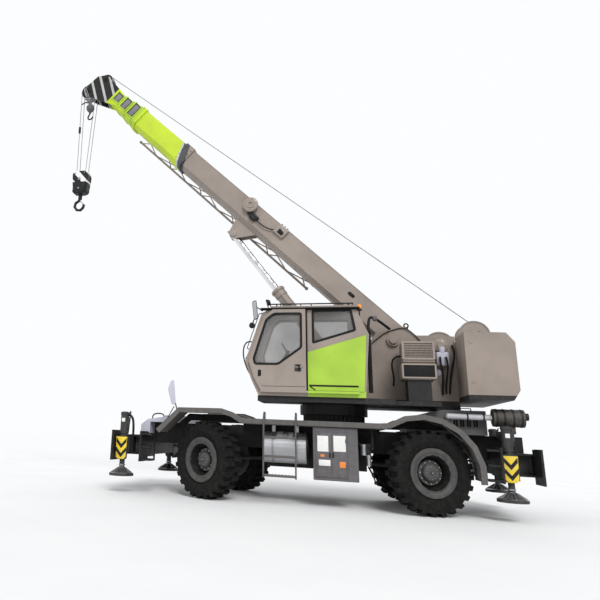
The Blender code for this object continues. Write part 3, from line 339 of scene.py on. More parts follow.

# %% [markdown]
# Each finish is one row of a table, with the slot that its pieces take and the imported pieces that it
# paints. What no row names is part of the dark frame. Tinted glass has a finish of its own, half let
# through by its alpha, because the seat behind it should still show, and with slow pale patches painted on
# it as reflections.

# %% The finishes by name
FINISHES = (  # name, slot, colour or its function, roughness, other looks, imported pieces
    ("grey_paint", "body_grey", GREY, 0.42, dict(dust=0.25, coat=0.15),
     "cab_door luff_barrel swing_jib main_winch aux_winch"),
    ("lime_paint", "lime", LIME, 0.38, dict(coat=0.15), "boom_section_2 boom_section_3"),
    # the side panel takes the darker yellow-green, painted as shade
    ("shaded_lime", "lime", SHADED_LIME, 0.40, dict(coat=0.1), "side_panel"),
    ("cab_paint", "body_grey", cab_colours, 0.42, dict(dust=0.2, coat=0.15), "cab_shell"),
    ("boom_paint", "body_grey", boom_colours, 0.42, dict(dust=0.14, coat=0.1), "boom_base"),
    ("frame_paint", "frame_grey", (0.034, 0.033, 0.035), 0.50, dict(dust=0.08, gloss=0.3), ""),
    ("deck_paint", "frame_grey", (0.100, 0.094, 0.090), 0.50, dict(dust=0.12, gloss=0.3),
     "deck_and_fenders ladder"),
    # the pale bands on the head's dark cheeks are painted highlights
    ("head_paint", "lime", head_colours_and_highlights, 0.40, dict(coat=0.1, gloss=0.25), "boom_head"),
    ("turret_paint", "body_grey", split(UP, 1.965, BLACK, GREY), 0.48, dict(gloss=0.3), "turntable"),
    ("cooler_paint", "box_grey", split(UP, 2.29, BLACK, GREY), 0.45, dict(dust=0.06, gloss=0.3), "oil_cooler"),
    # the counterweight is black below 2.03 m as painted shade on its underside
    ("weight_paint_shaded_below", "body_grey", split(UP, 2.03, BLACK, GREY), 0.48, dict(gloss=0.3), "counterweight"),
    ("tail_stripes", "dark", split((0, 0.7, 0.7), 0.08, YELLOW, BLACK, pitch=0.16), 0.4, dict(), ""),
    ("block_paint", "dark", block_colours, 0.40, dict(dust=0.06, gloss=0.25), "hook_block"),
    ("silencer", "dark", split(X, -1.045, (0.03, 0.024, 0.02), SILVER, MACHINE.translation), 0.5,
     dict(dust=0.2), "exhaust"),
    ("black_paint", "dark", BLACK, 0.45, dict(dust=0.04, gloss=0.22),
     "roof_guard engine_block slewing_ring chassis_frame front_axle rear_axle"),
    ("box_paint", "box_grey", (0.105, 0.100, 0.106), 0.48, dict(dust=0.12, gloss=0.3), "engine_hood tool_box"),
    ("cover_paint", "lilac_grey", (0.50, 0.50, 0.58), 0.42, dict(dust=0.18), "front_cover"),
    ("rim_paint", "rim_grey", (0.050, 0.048, 0.048), 0.50, dict(gloss=0.35), "rim"),
    ("tyre_rubber", "rubber", (0.007, 0.007, 0.007), 0.90, dict(dust=0.03, grain=420, bump=0.3, gloss=0.15),
     "tyre"),
    ("rubber", "rubber", (0.008, 0.008, 0.008), 0.6, dict(dust=0.04, gloss=0.2), ""),
    ("seat_cloth", "seat_black", (0.018, 0.018, 0.020), 0.9, dict(dust=0.05, grain=900, bump=0.5), "seat"),
    ("cab_plastic", "seat_black", (0.025, 0.025, 0.027), 0.6, dict(dust=0.08, grain=700, bump=0.3),
     "steering_console"),
    ("tank_metal", "silver", SILVER, 0.34, dict(metallic=0.85, dust=0.15), "fuel_tank"),
    ("chrome", "chrome", (0.82, 0.82, 0.84), 0.10, dict(metallic=1.0, dust=0.02, bump=0.01), "luff_rod"),
    ("steel", "silver", (0.36, 0.36, 0.37), 0.38, dict(metallic=0.9, dust=0.15), ""),
    ("wire", "dark", (0.27, 0.265, 0.26), 0.50, dict(metallic=0.5, grain=1400, bump=0.8), ""),
    ("panel_grey", "dark", (0.17, 0.16, 0.19), 0.5, dict(dust=0.15), ""),
    ("white_plate", "dark", WHITE, 0.4, dict(dust=0.2), ""),
    ("orange_plate", "dark", (0.75, 0.22, 0.03), 0.4, dict(dust=0.2), ""),
    ("hazard_yellow", "dark", YELLOW, 0.4, dict(dust=0.2), ""),
    ("amber_lens", "glass", (0.85, 0.30, 0.01), 0.15, dict(dust=0.05, coat=0.6), ""),
    ("red_lens", "glass", (0.55, 0.01, 0.01), 0.15, dict(dust=0.05, coat=0.6), ""),
    ("clear_lens", "glass", (0.75, 0.77, 0.80), 0.08, dict(metallic=0.3, dust=0.05, coat=0.8), ""),
    ("mirror_glass", "chrome", (0.75, 0.77, 0.80), 0.03, dict(metallic=1.0, dust=0.02, bump=0.0), ""),
)
FINISH = {name: worn(name, colour, roughness, **looks) for name, _, colour, roughness, looks, _ in FINISHES}
NODE_FINISH = {node: row[0] for row in FINISHES for node in row[5].split()}
print("finishes", len(FINISH))

# %% Tinted glass, and the floor's finish
made, tree, shader, place = new_material("cab_glass")
# the glass's colour drifts between a dark tint and pale patches, which are painted reflections
painted_reflection = mix(tree, ramp(tree, noise(tree, place, 1.1, 1.0), 0.35, 0.75), (0.09, 0.088, 0.085), (0.40, 0.385, 0.375))
tree.links.new(painted_reflection, shader["Base Color"])
tree.links.new(ramp(tree, noise(tree, place, 2.0, 1.0), 0.3, 0.8, 0.02, 0.06), shader["Roughness"])
shader["Alpha"].default_value = 0.36
shader["Coat Weight"].default_value = 0.5
FINISH["cab_glass"] = made

made, tree, shader, place = new_material("floor")
shade = ramp(tree, noise(tree, place, 0.6), 0.3, 0.8)
tree.links.new(mix(tree, shade, (0.86, 0.86, 0.86), (0.82, 0.82, 0.83)), shader["Base Color"])
shader["Roughness"].default_value = 0.9
floor.data.materials.append(made)
print("the floor has", made.name)

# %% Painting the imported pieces
for node, thing in frame["nodes"].items():
    glazed = "glass" in node or node == "windscreen"
    name = "cab_glass" if glazed else NODE_FINISH.get(node) or NODE_FINISH.get(node.split("_")[0], "frame_paint")
    for slot in thing.material_slots:
        slot.material = FINISH[name]
print("painted", len(frame["nodes"]), "packed pieces")

# %% [markdown]
# ## A small kit of shapes
# Most fittings on a machine are plates, bars, turned parts and bent tubes. Each helper below adds one of
# those to the bench in whatever frame is easiest. `fit` then places what lies on the bench, makes it an
# object at the origin, gives it a finish, lets it ride on its body and clears the bench.

# %% Blocks and bars
MERGE = 0.00005  # points nearer than this become one


def soften(edges, edge, segments=2):
    if edge:
        bmesh.ops.bevel(bench, geom=edges, offset=edge, segments=segments, profile=0.5, affect="EDGES",
            material=-1)


def block(x, y, z, edge=0.004, segments=2):
    """A box over three ranges with rounded edges."""
    spans = [sorted(span) for span in (x, y, z)]
    made = bmesh.ops.create_cube(bench, size=1)["verts"]
    bmesh.ops.scale(bench, vec=[high - low for low, high in spans], verts=made)
    bmesh.ops.translate(bench, vec=[(low + high) / 2 for low, high in spans], verts=made)
    soften(list({e for v in made for e in v.link_edges}), edge, segments)


def bar(start, end, radius, sides=16, end_radius=None, edge=0.0):
    """A round bar or cone from start to end, its two rims bevelled by edge."""
    start, end = Vector(start), Vector(end)
    place = facing((start + end) / 2, end - start)
    made = bmesh.ops.create_cone(bench, cap_ends=True, segments=sides, radius1=radius,
                                 radius2=radius if end_radius is None else end_radius,
                                 depth=(end - start).length, matrix=place)["verts"]
    edges = {e for v in made for e in v.link_edges}
    soften([e for e in edges if any(len(f.verts) > 4 for f in e.link_faces)], edge)


def peg(x, y, z, *size, **ends):
    """A bar along the one of x, y, z that is given as a (start, end) pair."""
    pairs = [at if isinstance(at, tuple) else (at, at) for at in (x, y, z)]
    bar(*zip(*pairs), *size, **ends)


def both(shape, x, y, *rest, **more):
    """The same block or peg on both sides of the machine."""
    for side in (-1, 1):
        shape(x, tuple(side * end for end in y) if isinstance(y, tuple) else side * y, *rest, **more)


block((0, 1), (0, 1), (0, 1))
print("a block with soft edges has", len(bench.faces), "faces")
bench.clear()


# %% Balls and turned parts
def ball(centre, radius, u=12, v=8, tall=1):
    bmesh.ops.create_uvsphere(bench, u_segments=u, v_segments=v, radius=radius,
                              matrix=moved(centre) @ Matrix.Diagonal((1, 1, tall, 1)))


def revolve(profile, place=HERE, steps=32):
    """A profile of (radius, height) points spun about the Z axis of a placing matrix."""
    old = set(bench.verts)
    line = [bench.verts.new((radius, 0, height)) for radius, height in profile]
    edges = [bench.edges.new(pair) for pair in zip(line, line[1:])]
    bmesh.ops.spin(bench, geom=line + edges, cent=(0, 0, 0), axis=UP, angle=2 * pi, steps=steps, use_merge=True)
    made = [vert for vert in bench.verts if vert not in old]
    bmesh.ops.transform(bench, matrix=place, verts=made)
    bmesh.ops.remove_doubles(bench, verts=made, dist=MERGE)


def hoop(profile, place=HERE, steps=32):
    """A turned ring, whose profile closes on itself."""
    revolve([*profile, profile[0]], place, steps)


def close_rims():
    """Gives every open rim on the bench a face."""
    bmesh.ops.holes_fill(bench, edges=[e for e in bench.edges if e.is_boundary], sides=0)


def spots(count, radius, x=0, y=0):
    """Places evenly round a circle."""
    turns = [2 * pi * number / count for number in range(count)]
    return [(x + radius * cos(turn), y + radius * sin(turn)) for turn in turns]


revolve([(0, 0), (1, 0), (1, 1), (0, 1)])
print("a turned disc has", len(bench.faces), "faces")
bench.clear()


# %% Outlines and plates
def grown(outline, distance):
    """The outline with every side moved outwards."""
    area = sum(a[0] * b[1] - b[0] * a[1] for a, b in zip(outline, outline[1:] + outline[:1]))
    shift = -distance if area > 0 else distance
    made = []
    for i, here in enumerate(outline):
        here, before, after = Vector(here), Vector(outline[i - 1]), Vector(outline[(i + 1) % len(outline)])
        into, out = (here - before).normalized(), (after - here).normalized()
        n1, n2 = Vector((-into.y, into.x)), Vector((-out.y, out.x))
        made.append(tuple(here + (n1 + n2) * (shift / (1 + n1.dot(n2)))))
    return made


def rounded(outline, radius, steps=4):
    """The outline with its corners drawn as curves."""
    made = []
    for i, here in enumerate(outline):
        here, before, after = Vector(here), Vector(outline[i - 1]), Vector(outline[(i + 1) % len(outline)])
        start = here + (before - here).normalized() * min(radius, (before - here).length * 0.45)
        end = here + (after - here).normalized() * min(radius, (after - here).length * 0.45)
        for t in [step / steps for step in range(steps + 1)]:
            made.append(tuple(start.lerp(here, t).lerp(here.lerp(end, t), t)))
    return made


def plate(outline, through, low, high, rim=0.0, edge=0.0):
    """A flat outline across an axis, from low to high; with rim it is only a band along the outline."""
    def ring(points, at):
        return [bench.verts.new({"X": (at, a, b), "Y": (a, at, b), "Z": (a, b, at)}[through]) for a, b in points]

    low, high = sorted((low, high))
    rings = [ring(outline, low), ring(outline, high)]
    if rim:
        inner = grown(outline, -rim)
        rings += [ring(inner, high), ring(inner, low)]
        pairs, top = zip(rings, rings[1:] + rings[:1]), rings[1:3]
    else:
        pairs, top = [rings], rings[1:]
        for line in rings:
            bench.faces.new(line)
    for first, second in pairs:
        for i in range(len(first)):
            bench.faces.new((first[i - 1], first[i], second[i], second[i - 1]))
    soften([bench.edges.get((line[i - 1], line[i])) for line in top for i in range(len(line))], edge)
    return [vert for line in rings for vert in line]


plate([(0, 0), (1, 0), (1, 1)], "Z", 0, 1, edge=0.1)
print("a plate with three corners and a soft edge has", len(bench.faces), "faces")
bench.clear()


# %% Pieces and tubes
def fit(name, finish, body, place=MACHINE, smooth=38):
    """Places what is on the bench, makes it a piece with its finish, and lets it ride on a body."""
    bmesh.ops.transform(bench, matrix=place, verts=bench.verts)
    bmesh.ops.recalc_face_normals(bench, faces=bench.faces)
    mesh = bpy.data.meshes.new(name)
    bench.to_mesh(mesh)
    bench.clear()
    mesh.shade_smooth()
    mesh.set_sharp_from_angle(angle=radians(smooth))
    piece = bpy.data.objects.new(name, mesh)
    scene.collection.objects.link(piece)
    mesh.materials.append(FINISH[finish])
    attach(piece, body)
    print(name, "on", body, len(mesh.polygons), "faces")
    return piece


def tube(name, points, radius, finish, body, place=MACHINE, flowing=True, closed=False):
    """A tube, hose or rope along points, in one flowing curve or with straight runs."""
    curve = bpy.data.curves.new(name, "CURVE")
    curve.dimensions, curve.bevel_depth, curve.bevel_resolution, curve.use_fill_caps = "3D", radius, 4, True
    line = curve.splines.new("NURBS" if flowing else "POLY")
    line.points.add(len(points) - 1)
    for point, at in zip(line.points, points):
        point.co = (*(place @ Vector(at)), 1)
    line.use_cyclic_u = closed
    if flowing:
        line.order_u, line.use_endpoint_u, line.resolution_u = 4, True, 5
    guide = bpy.data.objects.new("guide", curve)
    scene.collection.objects.link(guide)
    bench.from_mesh(bpy.data.meshes.new_from_object(guide.evaluated_get(bpy.context.evaluated_depsgraph_get())))
    bpy.data.objects.remove(guide)
    bmesh.ops.remove_doubles(bench, verts=bench.verts, dist=MERGE)
    return fit(name, finish, body, HERE, 50)


print("the bench is clear:", not bench.verts)

# %% [markdown]
# ## Wheel ends
# A planetary hub stands out of each rim. Its cover is a shallow turned cap with a ring of small bolts
# and a filler plug at its centre, and the rim is held by larger nuts round it. A lock ring and a valve
# finish the rim's edge. They could be stacked from cylinders, but one profile spun about the spindle
# gives every step and rounding at once. Each wheel's fittings spin with it.

# %% Hubs, nuts and lock rings
for tag, end, side in CORNERS:
    body, outwards = "wheel_" + tag, wheel_frame(end, side)
    revolve([(0, 0.14), (0.03, 0.14), (0.034, 0.126), (0.07, 0.122), (0.12, 0.112), (0.14, 0.1), (0.152, 0.08),
        (0.152, 0.05), (0.205, 0.046), (0.212, 0.036), (0.212, 0.01), (0, 0.01)], steps=40)
    fit("hub_cap_" + tag, "rim_paint", body, outwards)
    for count, radius, low, high, size in ((12, 0.182, 0.044, 0.066, 0.012), (12, 0.1, 0.11, 0.124, 0.006),
            (1, 0, 0.138, 0.152, 0.012)):
        for x, y in spots(count, radius):
            peg(x, y, (low, high), size, 6)
    fit("wheel_nuts_" + tag, "steel", body, outwards, 20)
    hoop([(0.318, 0.186), (0.336, 0.2), (0.372, 0.204), (0.404, 0.198), (0.41, 0.186)], steps=56)
    fit("lock_ring_" + tag, "rim_paint", body, outwards)
    tube("valve_" + tag, [(0.285, 0, 0.12), (0.27, 0, 0.17), (0.262, 0, 0.21)], 0.006, "steel", body, outwards,
        flowing=False)

# %% [markdown]
# ## Cab trim
# Each pane sits in a black rubber seal, which shows as a dark line round the glass. The seal is a flat
# outline, inset to a band and given a thickness, so that it stands a little proud of the painted wall on
# both of its faces. The door has its own seals and handle, which slide with it.

# %% Window seals
DOOR_PANE = [(2.18, 2.82), (2.62, 2.5), (3.06, 2.5), (3.09, 2.6), (2.85, 3.36), (2.7, 3.48), (2.18, 3.48)]
REAR_PANE = [(1.97, 2.92), (1.97, 3.55), (1.26, 3.55), (1.19, 3.16)]
RIGHT_PANE = [(1.3, 2.5), (2.95, 2.5), (3.02, 2.75), (2.82, 3.38), (2.68, 3.5), (1.3, 3.5)]

SEALS = (  # name, pane, body, y ranges of its bands
    ("door_seal", DOOR_PANE, "door", ((1.33, 1.344), (1.284, 1.298))),
    ("side_seal", REAR_PANE, "upper", ((1.256, 1.27), (1.204, 1.218))),
    ("right_seal", RIGHT_PANE, "upper", ((0.412, 0.426), (0.464, 0.478))),
)
for name, pane, body, bands in SEALS:
    for low, high in bands:
        plate(rounded(grown(pane, 0.016), 0.05), "Y", low, high, rim=0.042, edge=0.004)
    fit(name, "rubber", body)
low, high = Vector((3.245, 2.605)), Vector((2.965, 3.435))  # the windscreen's ends on the cab's face
up = (high - low).normalized()
SCREEN = MACHINE @ Matrix(((0, up.x, up.y, low.x), (1, 0, 0, 0), (0, up.y, -up.x, low.y), (0, 0, 0, 1)))
screen = [(0.5, 0), (1.182, 0), (1.182, (high - low).length), (0.5, (high - low).length)]
plate(rounded(grown(screen, 0.016), 0.05), "Z", -0.008, 0.008, rim=0.042, edge=0.004)
fit("screen_seal", "rubber", "upper", SCREEN)
peg(1.1, 0.02, (0.014, 0.04), 0.018, 12)
bar((1.1, 0.02, 0.034), (0.9, 0.5, 0.03), 0.007, 8)
block((0.893, 0.907), (0.18, 0.78), (0.006, 0.026), 0.003)
fit("wiper", "black_paint", "upper", SCREEN)

# %% [markdown]
# ## Cab fittings
# The door hangs from a rail under the roof's edge and runs on the sill. Behind it a second rail is let
# into the side panel. Outside there are a recessed latch, a step vent, a bent grab tube in front of the
# screen, a roof lamp, a beacon and a tall mirror on a stalk. Small blocks and turned parts do for most of
# them. The bent tubes are curves with a round bevel, because a tube bent face by face would kink.

# %% Door furniture
block((2.19, 2.31), (1.335, 1.345), (2.37, 2.5), 0.006)
fit("latch_plate", "cab_plastic", "door")
block((2.21, 2.24), (1.345, 1.368), (2.38, 2.49), 0.006)
block((2.21, 2.29), (1.356, 1.368), (2.462, 2.488), 0.005)
fit("latch_handle", "rubber", "door")
block((2.115, 2.93), (1.334, 1.34), (2.085, 2.093), 0.002)
fit("door_crease", "frame_paint", "door")
block((2.94, 3.0), (1.334, 1.345), (2.27, 2.39), 0.006)
for number in range(5):
    block((2.947, 2.993), (1.343, 1.35), (2.283 + 0.021 * number, 2.293 + 0.021 * number), 0.002)
fit("door_vent", "rubber", "door")

# %% Rails and grab tube
block((1.1, 2.96), (1.258, 1.345), (3.572, 3.592))
block((1.1, 2.96), (1.258, 1.27), (3.552, 3.592), 0.003)
block((1.17, 2.05), (1.274, 1.286), (2.105, 2.135))
bar((2.03, 1.28, 2.1), (1.94, 1.28, 2.04), 0.01, 10)
peg((1.36, 1.22), 1.27, 2.12, 0.018, 10)
block((2.07, 2.098), (1.27, 1.281), (2.03, 3.55))
fit("door_rails", "rubber", "upper")
tube("grab_tube", [(3.0, 1.235, 2.3), (3.1, 1.235, 2.24), (3.2, 1.235, 2.34), (3.3, 1.235, 2.62),
    (3.31, 1.235, 2.8), (3.255, 1.235, 2.96), (3.14, 1.235, 2.94)], 0.013, "black_paint", "upper")
tube("front_guide", [(3.17, 1.215, 2.78), (3.23, 1.215, 2.82), (3.0, 1.215, 3.5), (2.9, 1.215, 3.52)], 0.01,
    "black_paint", "upper", flowing=False)

# %% Mirrors
plate(rounded([(2.99, 3.36), (3.075, 3.34), (3.115, 3.7), (3.03, 3.735)], 0.03), "Y", 1.395, 1.425, edge=0.008)
fit("mirror_shell", "black_paint", "upper")
plate(rounded([(3.0, 3.372), (3.07, 3.354), (3.106, 3.688), (3.036, 3.718)], 0.025), "Y", 1.425, 1.429)
fit("mirror_face", "mirror_glass", "upper")
tube("mirror_stalk", [(2.93, 1.24, 3.55), (3.02, 1.34, 3.6), (3.06, 1.385, 3.56), (3.055, 1.39, 3.5)], 0.011,
    "black_paint", "upper", flowing=False)
revolve([(0, 0.03), (0.035, 0.026), (0.058, 0), (0.06, -0.012), (0, -0.012)],
    facing((3.115, 1.36, 3.24), (-0.45, 0.8, -0.2)), 24)
bar((3.08, 1.37, 3.36), (3.115, 1.35, 3.25), 0.01, 10)
fit("round_mirror", "black_paint", "upper")

# %% Roof lamp and beacon
ROOF_LAMP = facing((2.84, 1.18, 3.73), (0.9, 0.15, -0.3))
revolve([(0, -0.06), (0.035, -0.055), (0.062, -0.02), (0.066, 0.02), (0.058, 0.024), (0, 0.024)], ROOF_LAMP, 28)
peg(2.83, 1.18, (3.6, 3.7), 0.01, 10)
fit("roof_lamp_shell", "black_paint", "upper")
revolve([(0, 0.034), (0.035, 0.031), (0.055, 0.022), (0, 0.02)], ROOF_LAMP, 28)
fit("roof_lamp_lens", "clear_lens", "upper")
BEACON = moved((1.1, 0.95, 3.6))
revolve([(0, 0), (0.055, 0), (0.055, 0.012), (0.045, 0.02), (0.045, 0.035), (0, 0.035)], BEACON, 24)
peg(1.1, 0.95, (3.46, 3.605), 0.014, 10)
bar((1.1, 0.95, 3.47), (1.2, 0.95, 3.5), 0.012, 10)
fit("beacon_foot", "black_paint", "upper")
revolve([(0.042, 0.033), (0.044, 0.07), (0.042, 0.1), (0.03, 0.118), (0, 0.124)], BEACON, 24)
close_rims()
fit("beacon_dome", "amber_lens", "upper")

# %% [markdown]
# ## The driver's seat
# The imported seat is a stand-in of plain blocks. A real one has a moulded cushion and back with raised
# side bolsters, so each is a subdivided block whose top is crowned and whose edges pull in.

# %% Seat
RIM_PULL, GROOVE = 0.28, 0.9
SEAT_PARTS = (  # name, size, centre, lean in degrees, crown
    ("seat_cushion", (0.56, 0.5, 0.15), (1.79, 0.84, 2.335), 4, 0.02),
    ("seat_back", (0.13, 0.47, 0.64), (1.465, 0.84, 2.68), -12, 0.018),
    ("seat_headrest", (0.1, 0.27, 0.18), (1.36, 0.84, 3.085), -8, 0.012),
)
for name, size, centre, lean, crown in SEAT_PARTS:
    bmesh.ops.create_cube(bench, size=1)
    bmesh.ops.subdivide_edges(bench, edges=bench.edges[:], cuts=5, use_grid_fill=True)
    thin = min(range(3), key=lambda axis: size[axis])
    for vert in bench.verts:
        across = [abs(vert.co[axis]) * 2 for axis in range(3) if axis != thin]
        swell = (1 - across[0] ** 2) * (1 - across[1] ** 2)
        vert.co[thin] *= (1 - RIM_PULL * max(across) ** 6) + 2 * crown / size[thin] * swell
        if 0.30 < abs(vert.co.y) < 0.36:
            vert.co[thin] *= GROOVE
    bmesh.ops.scale(bench, vec=size, verts=bench.verts)
    place = MACHINE @ moved(centre) @ turned(radians(lean), "Y")
    piece = fit(name, "seat_cloth", "upper", place, 60)
    smoother = piece.modifiers.new("smoother", "SUBSURF")
    smoother.levels = smoother.render_levels = 2
    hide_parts("seat")
block((1.62, 2.02), (0.66, 1.02), (1.975, 2.1), 0.012)
block((1.68, 1.96), (0.72, 0.96), (2.08, 2.26), 0.03)
for y in (0.57, 1.11):
    block((1.5, 1.86), (y - 0.03, y + 0.03), (2.5, 2.545), 0.014)
    bar((1.54, y, 2.3), (1.56, y, 2.52), 0.014, 10)
fit("seat_frame", "cab_plastic", "upper")
for y in (0.6, 1.08):
    bar((1.82, y, 2.54), (1.84, y, 2.66), 0.008, 10)
    ball((1.842, y, 2.68), 0.022, 14, 9)
fit("armrest_levers", "rubber", "upper")

# %% [markdown]
# ## Outrigger ends
# The jack stands at the end of each beam, so its hazard plate, hoses and label move with the beam. The
# plate is yellow with two black arrow-heads cut as raised sheets, which keeps their edges crisp. A wide
# steel foot with stiffening ribs hangs on the jack's rod.

# %% Hazard plates, jack fittings and ribbed feet
BOX_CENTRES = {"front": 5.56, "rear": -1.34}
BEAM_STAGGER, JACK_Y = 0.145, 1.14
for tag, end, side in CORNERS:
    body, jack = "beam_" + tag, MACHINE @ moved((BOX_CENTRES[end] + BEAM_STAGGER * side, side * JACK_Y, 0))
    plate([(-0.1, 0.66), (-0.06, 0.62), (0.06, 0.62), (0.1, 0.66), (0.115, 1.04), (-0.115, 1.04)], "Y",
        side * 0.1005, side * 0.1085, edge=0.003)
    fit("hazard_plate_" + tag, "hazard_yellow", body, jack)
    for top in (0.99, 0.82):
        plate([(-0.105, top + 0.03), (0, top - 0.09), (0.105, top + 0.03), (0.105, top - 0.05), (0, top - 0.17),
            (-0.105, top - 0.05)], "Y", side * 0.108, side * 0.111)
    fit("hazard_arrows_" + tag, "black_paint", body, jack)
    revolve([(0, 1.53), (0.05, 1.528), (0.086, 1.512), (0.088, 1.47), (0.0815, 1.465), (0.0815, 1.455),
        (0, 1.455)], steps=28)
    for low in (1.1, 0.7):
        hoop([(0.079, low), (0.092, low + 0.006), (0.092, low + 0.034), (0.079, low + 0.04)], steps=28)
    block((-0.1, -0.07), (-0.03, 0.03), (1.2, 1.42), 0.006)
    fit("jack_collars_" + tag, "frame_paint", body, jack)
    hose = [(-0.085, 0, 1.43), (-0.085, 0, 1.5), (-0.1, 0.06, 1.56), (-0.06, 0.16, 1.5), (-0.02, 0.22, 1.3),
        (0, 0.24, 1.1)]
    tube("jack_hose_" + tag, [(x, -side * y, z) for x, y, z in hose], 0.01, "rubber", body, jack)
    block((-0.035, 0.035), (side * 0.076, side * 0.083), (1.33, 1.4), 0.001)
    fit("jack_label_" + tag, "white_plate", body, jack)
    hoop([(0.165, 0.356), (0.205, 0.372), (0.236, 0.356)], steps=36)
    for number in range(8):
        rib = plate([(0.1, 0.355), (0.225, 0.355), (0.225, 0.372), (0.075, 0.465), (0.06, 0.43)], "Y", -0.005,
            0.005)
        bmesh.ops.transform(bench, matrix=turned(pi * number / 4, "Z"), verts=rib)
    for top in (0.52, 0.47):
        hoop([(0.0518, top - 0.03), (0.062, top - 0.025), (0.062, top), (0.0518, top)], steps=24)
    fit("foot_ribs_" + tag, "steel", "jack_" + tag, jack)

# %% [markdown]
# ## Outrigger boxes and lamps
# The boxes are welded from plate: thick end plates with a lifting hole's ring, a beam end seen between
# them, and rows of bolts. The lamps stand on them: round white ones at the front, and a red, amber and
# red group in a dark housing at the rear. Both ends are alike, so one loop mirrors them by a sign, and the
# lenses are sorted by colour, because a piece has one finish.

# %% Plate rings, bolts and lamps
OUTWARDS = {"front": 1, "rear": -1}
for end, centre in BOX_CENTRES.items():
    for side in (1, -1):
        for face in (-1, 1):
            x = centre + face * 0.296
            for level, depth in ((1.1, 1.3), (0.66, 1.3), (1.1, 1.06)):
                peg((x - 0.022, x + 0.022), side * depth, level, 0.022, 10, edge=0.004)
            block((x - 0.018, x + 0.018), (side * 1.02, side * 1.378), (1.15, 1.166), 0.003)
        x = centre + OUTWARDS[end] * 0.311
        block((x, x + OUTWARDS[end] * 0.05), (side * 0.62, side * 0.98), (0.93, 1.07), 0.008)
fit("outrigger_box_trim", "frame_paint", "carrier")
LENSES = {  # end and depth of each lamp
    "clear_lens": (("front", 0.72),),
    "red_lens": (("rear", 0.68), ("rear", 0.92)),
    "amber_lens": (("front", 0.89), ("rear", 0.8)),
}
for name, lamps in LENSES.items():
    for end, depth in lamps:
        for side in (1, -1):
            at = (BOX_CENTRES[end] + OUTWARDS[end] * 0.363, side * depth, 1)
            revolve([(0, 0.02), (0.035, 0.016), (0.048, 0.004), (0.048, -0.004), (0, -0.004)],
                facing(at, (OUTWARDS[end], 0, 0)), 24)
    fit("carrier_" + name, name, "carrier")

# %% [markdown]
# ## Fittings along the carrier
# Seen from the cab's side these are the tool box with its doors and blank plates, the silver tank with
# straps, cap and a pale band, two small filters on a bracket, a drain lever, the mirror that stands on
# the front fender, the loop handle of the sloping hood, and the lift hook beside it. A strap could be cut
# from a copy of the tank, but a hoop spun about the tank's axis lies on it just as evenly. The band is such
# a hoop cut by a plane, so that its ends are clean.

# %% Tool box
for x in ((1.415, 1.672), (1.682, 1.945)):
    block(x, (1.324, 1.333), (0.535, 1.285))
for x in (1.43, 1.93):
    for z in (0.7, 1.15):
        peg(x, 1.336, (z - 0.035, z + 0.035), 0.009, 10)
fit("box_doors", "box_paint", "carrier")
for x in (1.65, 1.704):
    block((x - 0.012, x + 0.012), (1.332, 1.346), (0.86, 0.95))
fit("box_catches", "rubber", "carrier")
PLATES = (  # finish, x range, z range
    ("white_plate", (1.73, 1.92), (0.96, 1.23)),
    ("white_plate", (1.43, 1.64), (0.97, 1.24)),
    ("white_plate", (1.7, 1.9), (0.72, 0.82)),
    ("orange_plate", (1.44, 1.54), (0.7, 0.8)),
    ("orange_plate", (1.8, 1.87), (0.87, 0.91)),
)
for number, (finish, x, z) in enumerate(PLATES):
    block(x, (1.3325, 1.3345), z, 0.0008)
    fit("blank_plate_%d" % number, finish, "carrier")

# %% Fuel tank
TANK_AXIS = (0.8, 0.99)  # y and z
for x in (2.31, 2.75):
    hoop([(0.286, -0.02), (0.292, -0.02), (0.292, 0.02), (0.286, 0.02)], facing((x, *TANK_AXIS), X), 48)
for x in (2.14, 2.93):
    hoop([(0.272, -0.006), (0.287, -0.006), (0.289, 0), (0.287, 0.006), (0.272, 0.006)],
        facing((x, *TANK_AXIS), X), 48)
bar((2.52, 0.98, 1.19), (2.52, 1.03, 1.25), 0.045, 24, edge=0.006)
fit("tank_straps", "steel", "carrier")
hoop([(0.2855, -0.15), (0.2875, -0.15), (0.2875, 0.15), (0.2855, 0.15)], facing((2.53, *TANK_AXIS), X), 48)
bmesh.ops.bisect_plane(bench, geom=bench.verts[:] + bench.edges[:] + bench.faces[:], plane_co=(0, 0, 1.13),
    plane_no=(0, 0, 1), clear_inner=True)
close_rims()
fit("tank_band", "white_plate", "carrier")

# %% Filters
for x, z, radius in ((1.12, 1.02, 0.05), (1.04, 0.84, 0.042)):
    revolve([(0, -0.1), (radius, -0.095), (radius, 0.05), (radius * 1.15, 0.06), (radius * 1.15, 0.09), (0, 0.1)],
        moved((x, 1.06, z)), 20)
fit("small_filters", "tank_metal", "carrier")
block((0.99, 1.2), (0.47, 1.09), (1.1, 1.125))
block((1, 1.08), (1.02, 1.09), (0.92, 1.11))
block((0.955, 0.985), (1.1, 1.13), (1.02, 1.405))
bar((0.97, 1.12, 1.03), (1.1, 1.08, 1.11), 0.01, 10)
bar((1.03, 0.5, 0.7), (0.98, 0.98, 0.6), 0.016, 12)
bar((0.98, 0.98, 0.62), (0.94, 0.99, 0.47), 0.013, 12)
ball((0.94, 0.99, 0.46), 0.026)
fit("filter_bracket", "black_paint", "carrier")

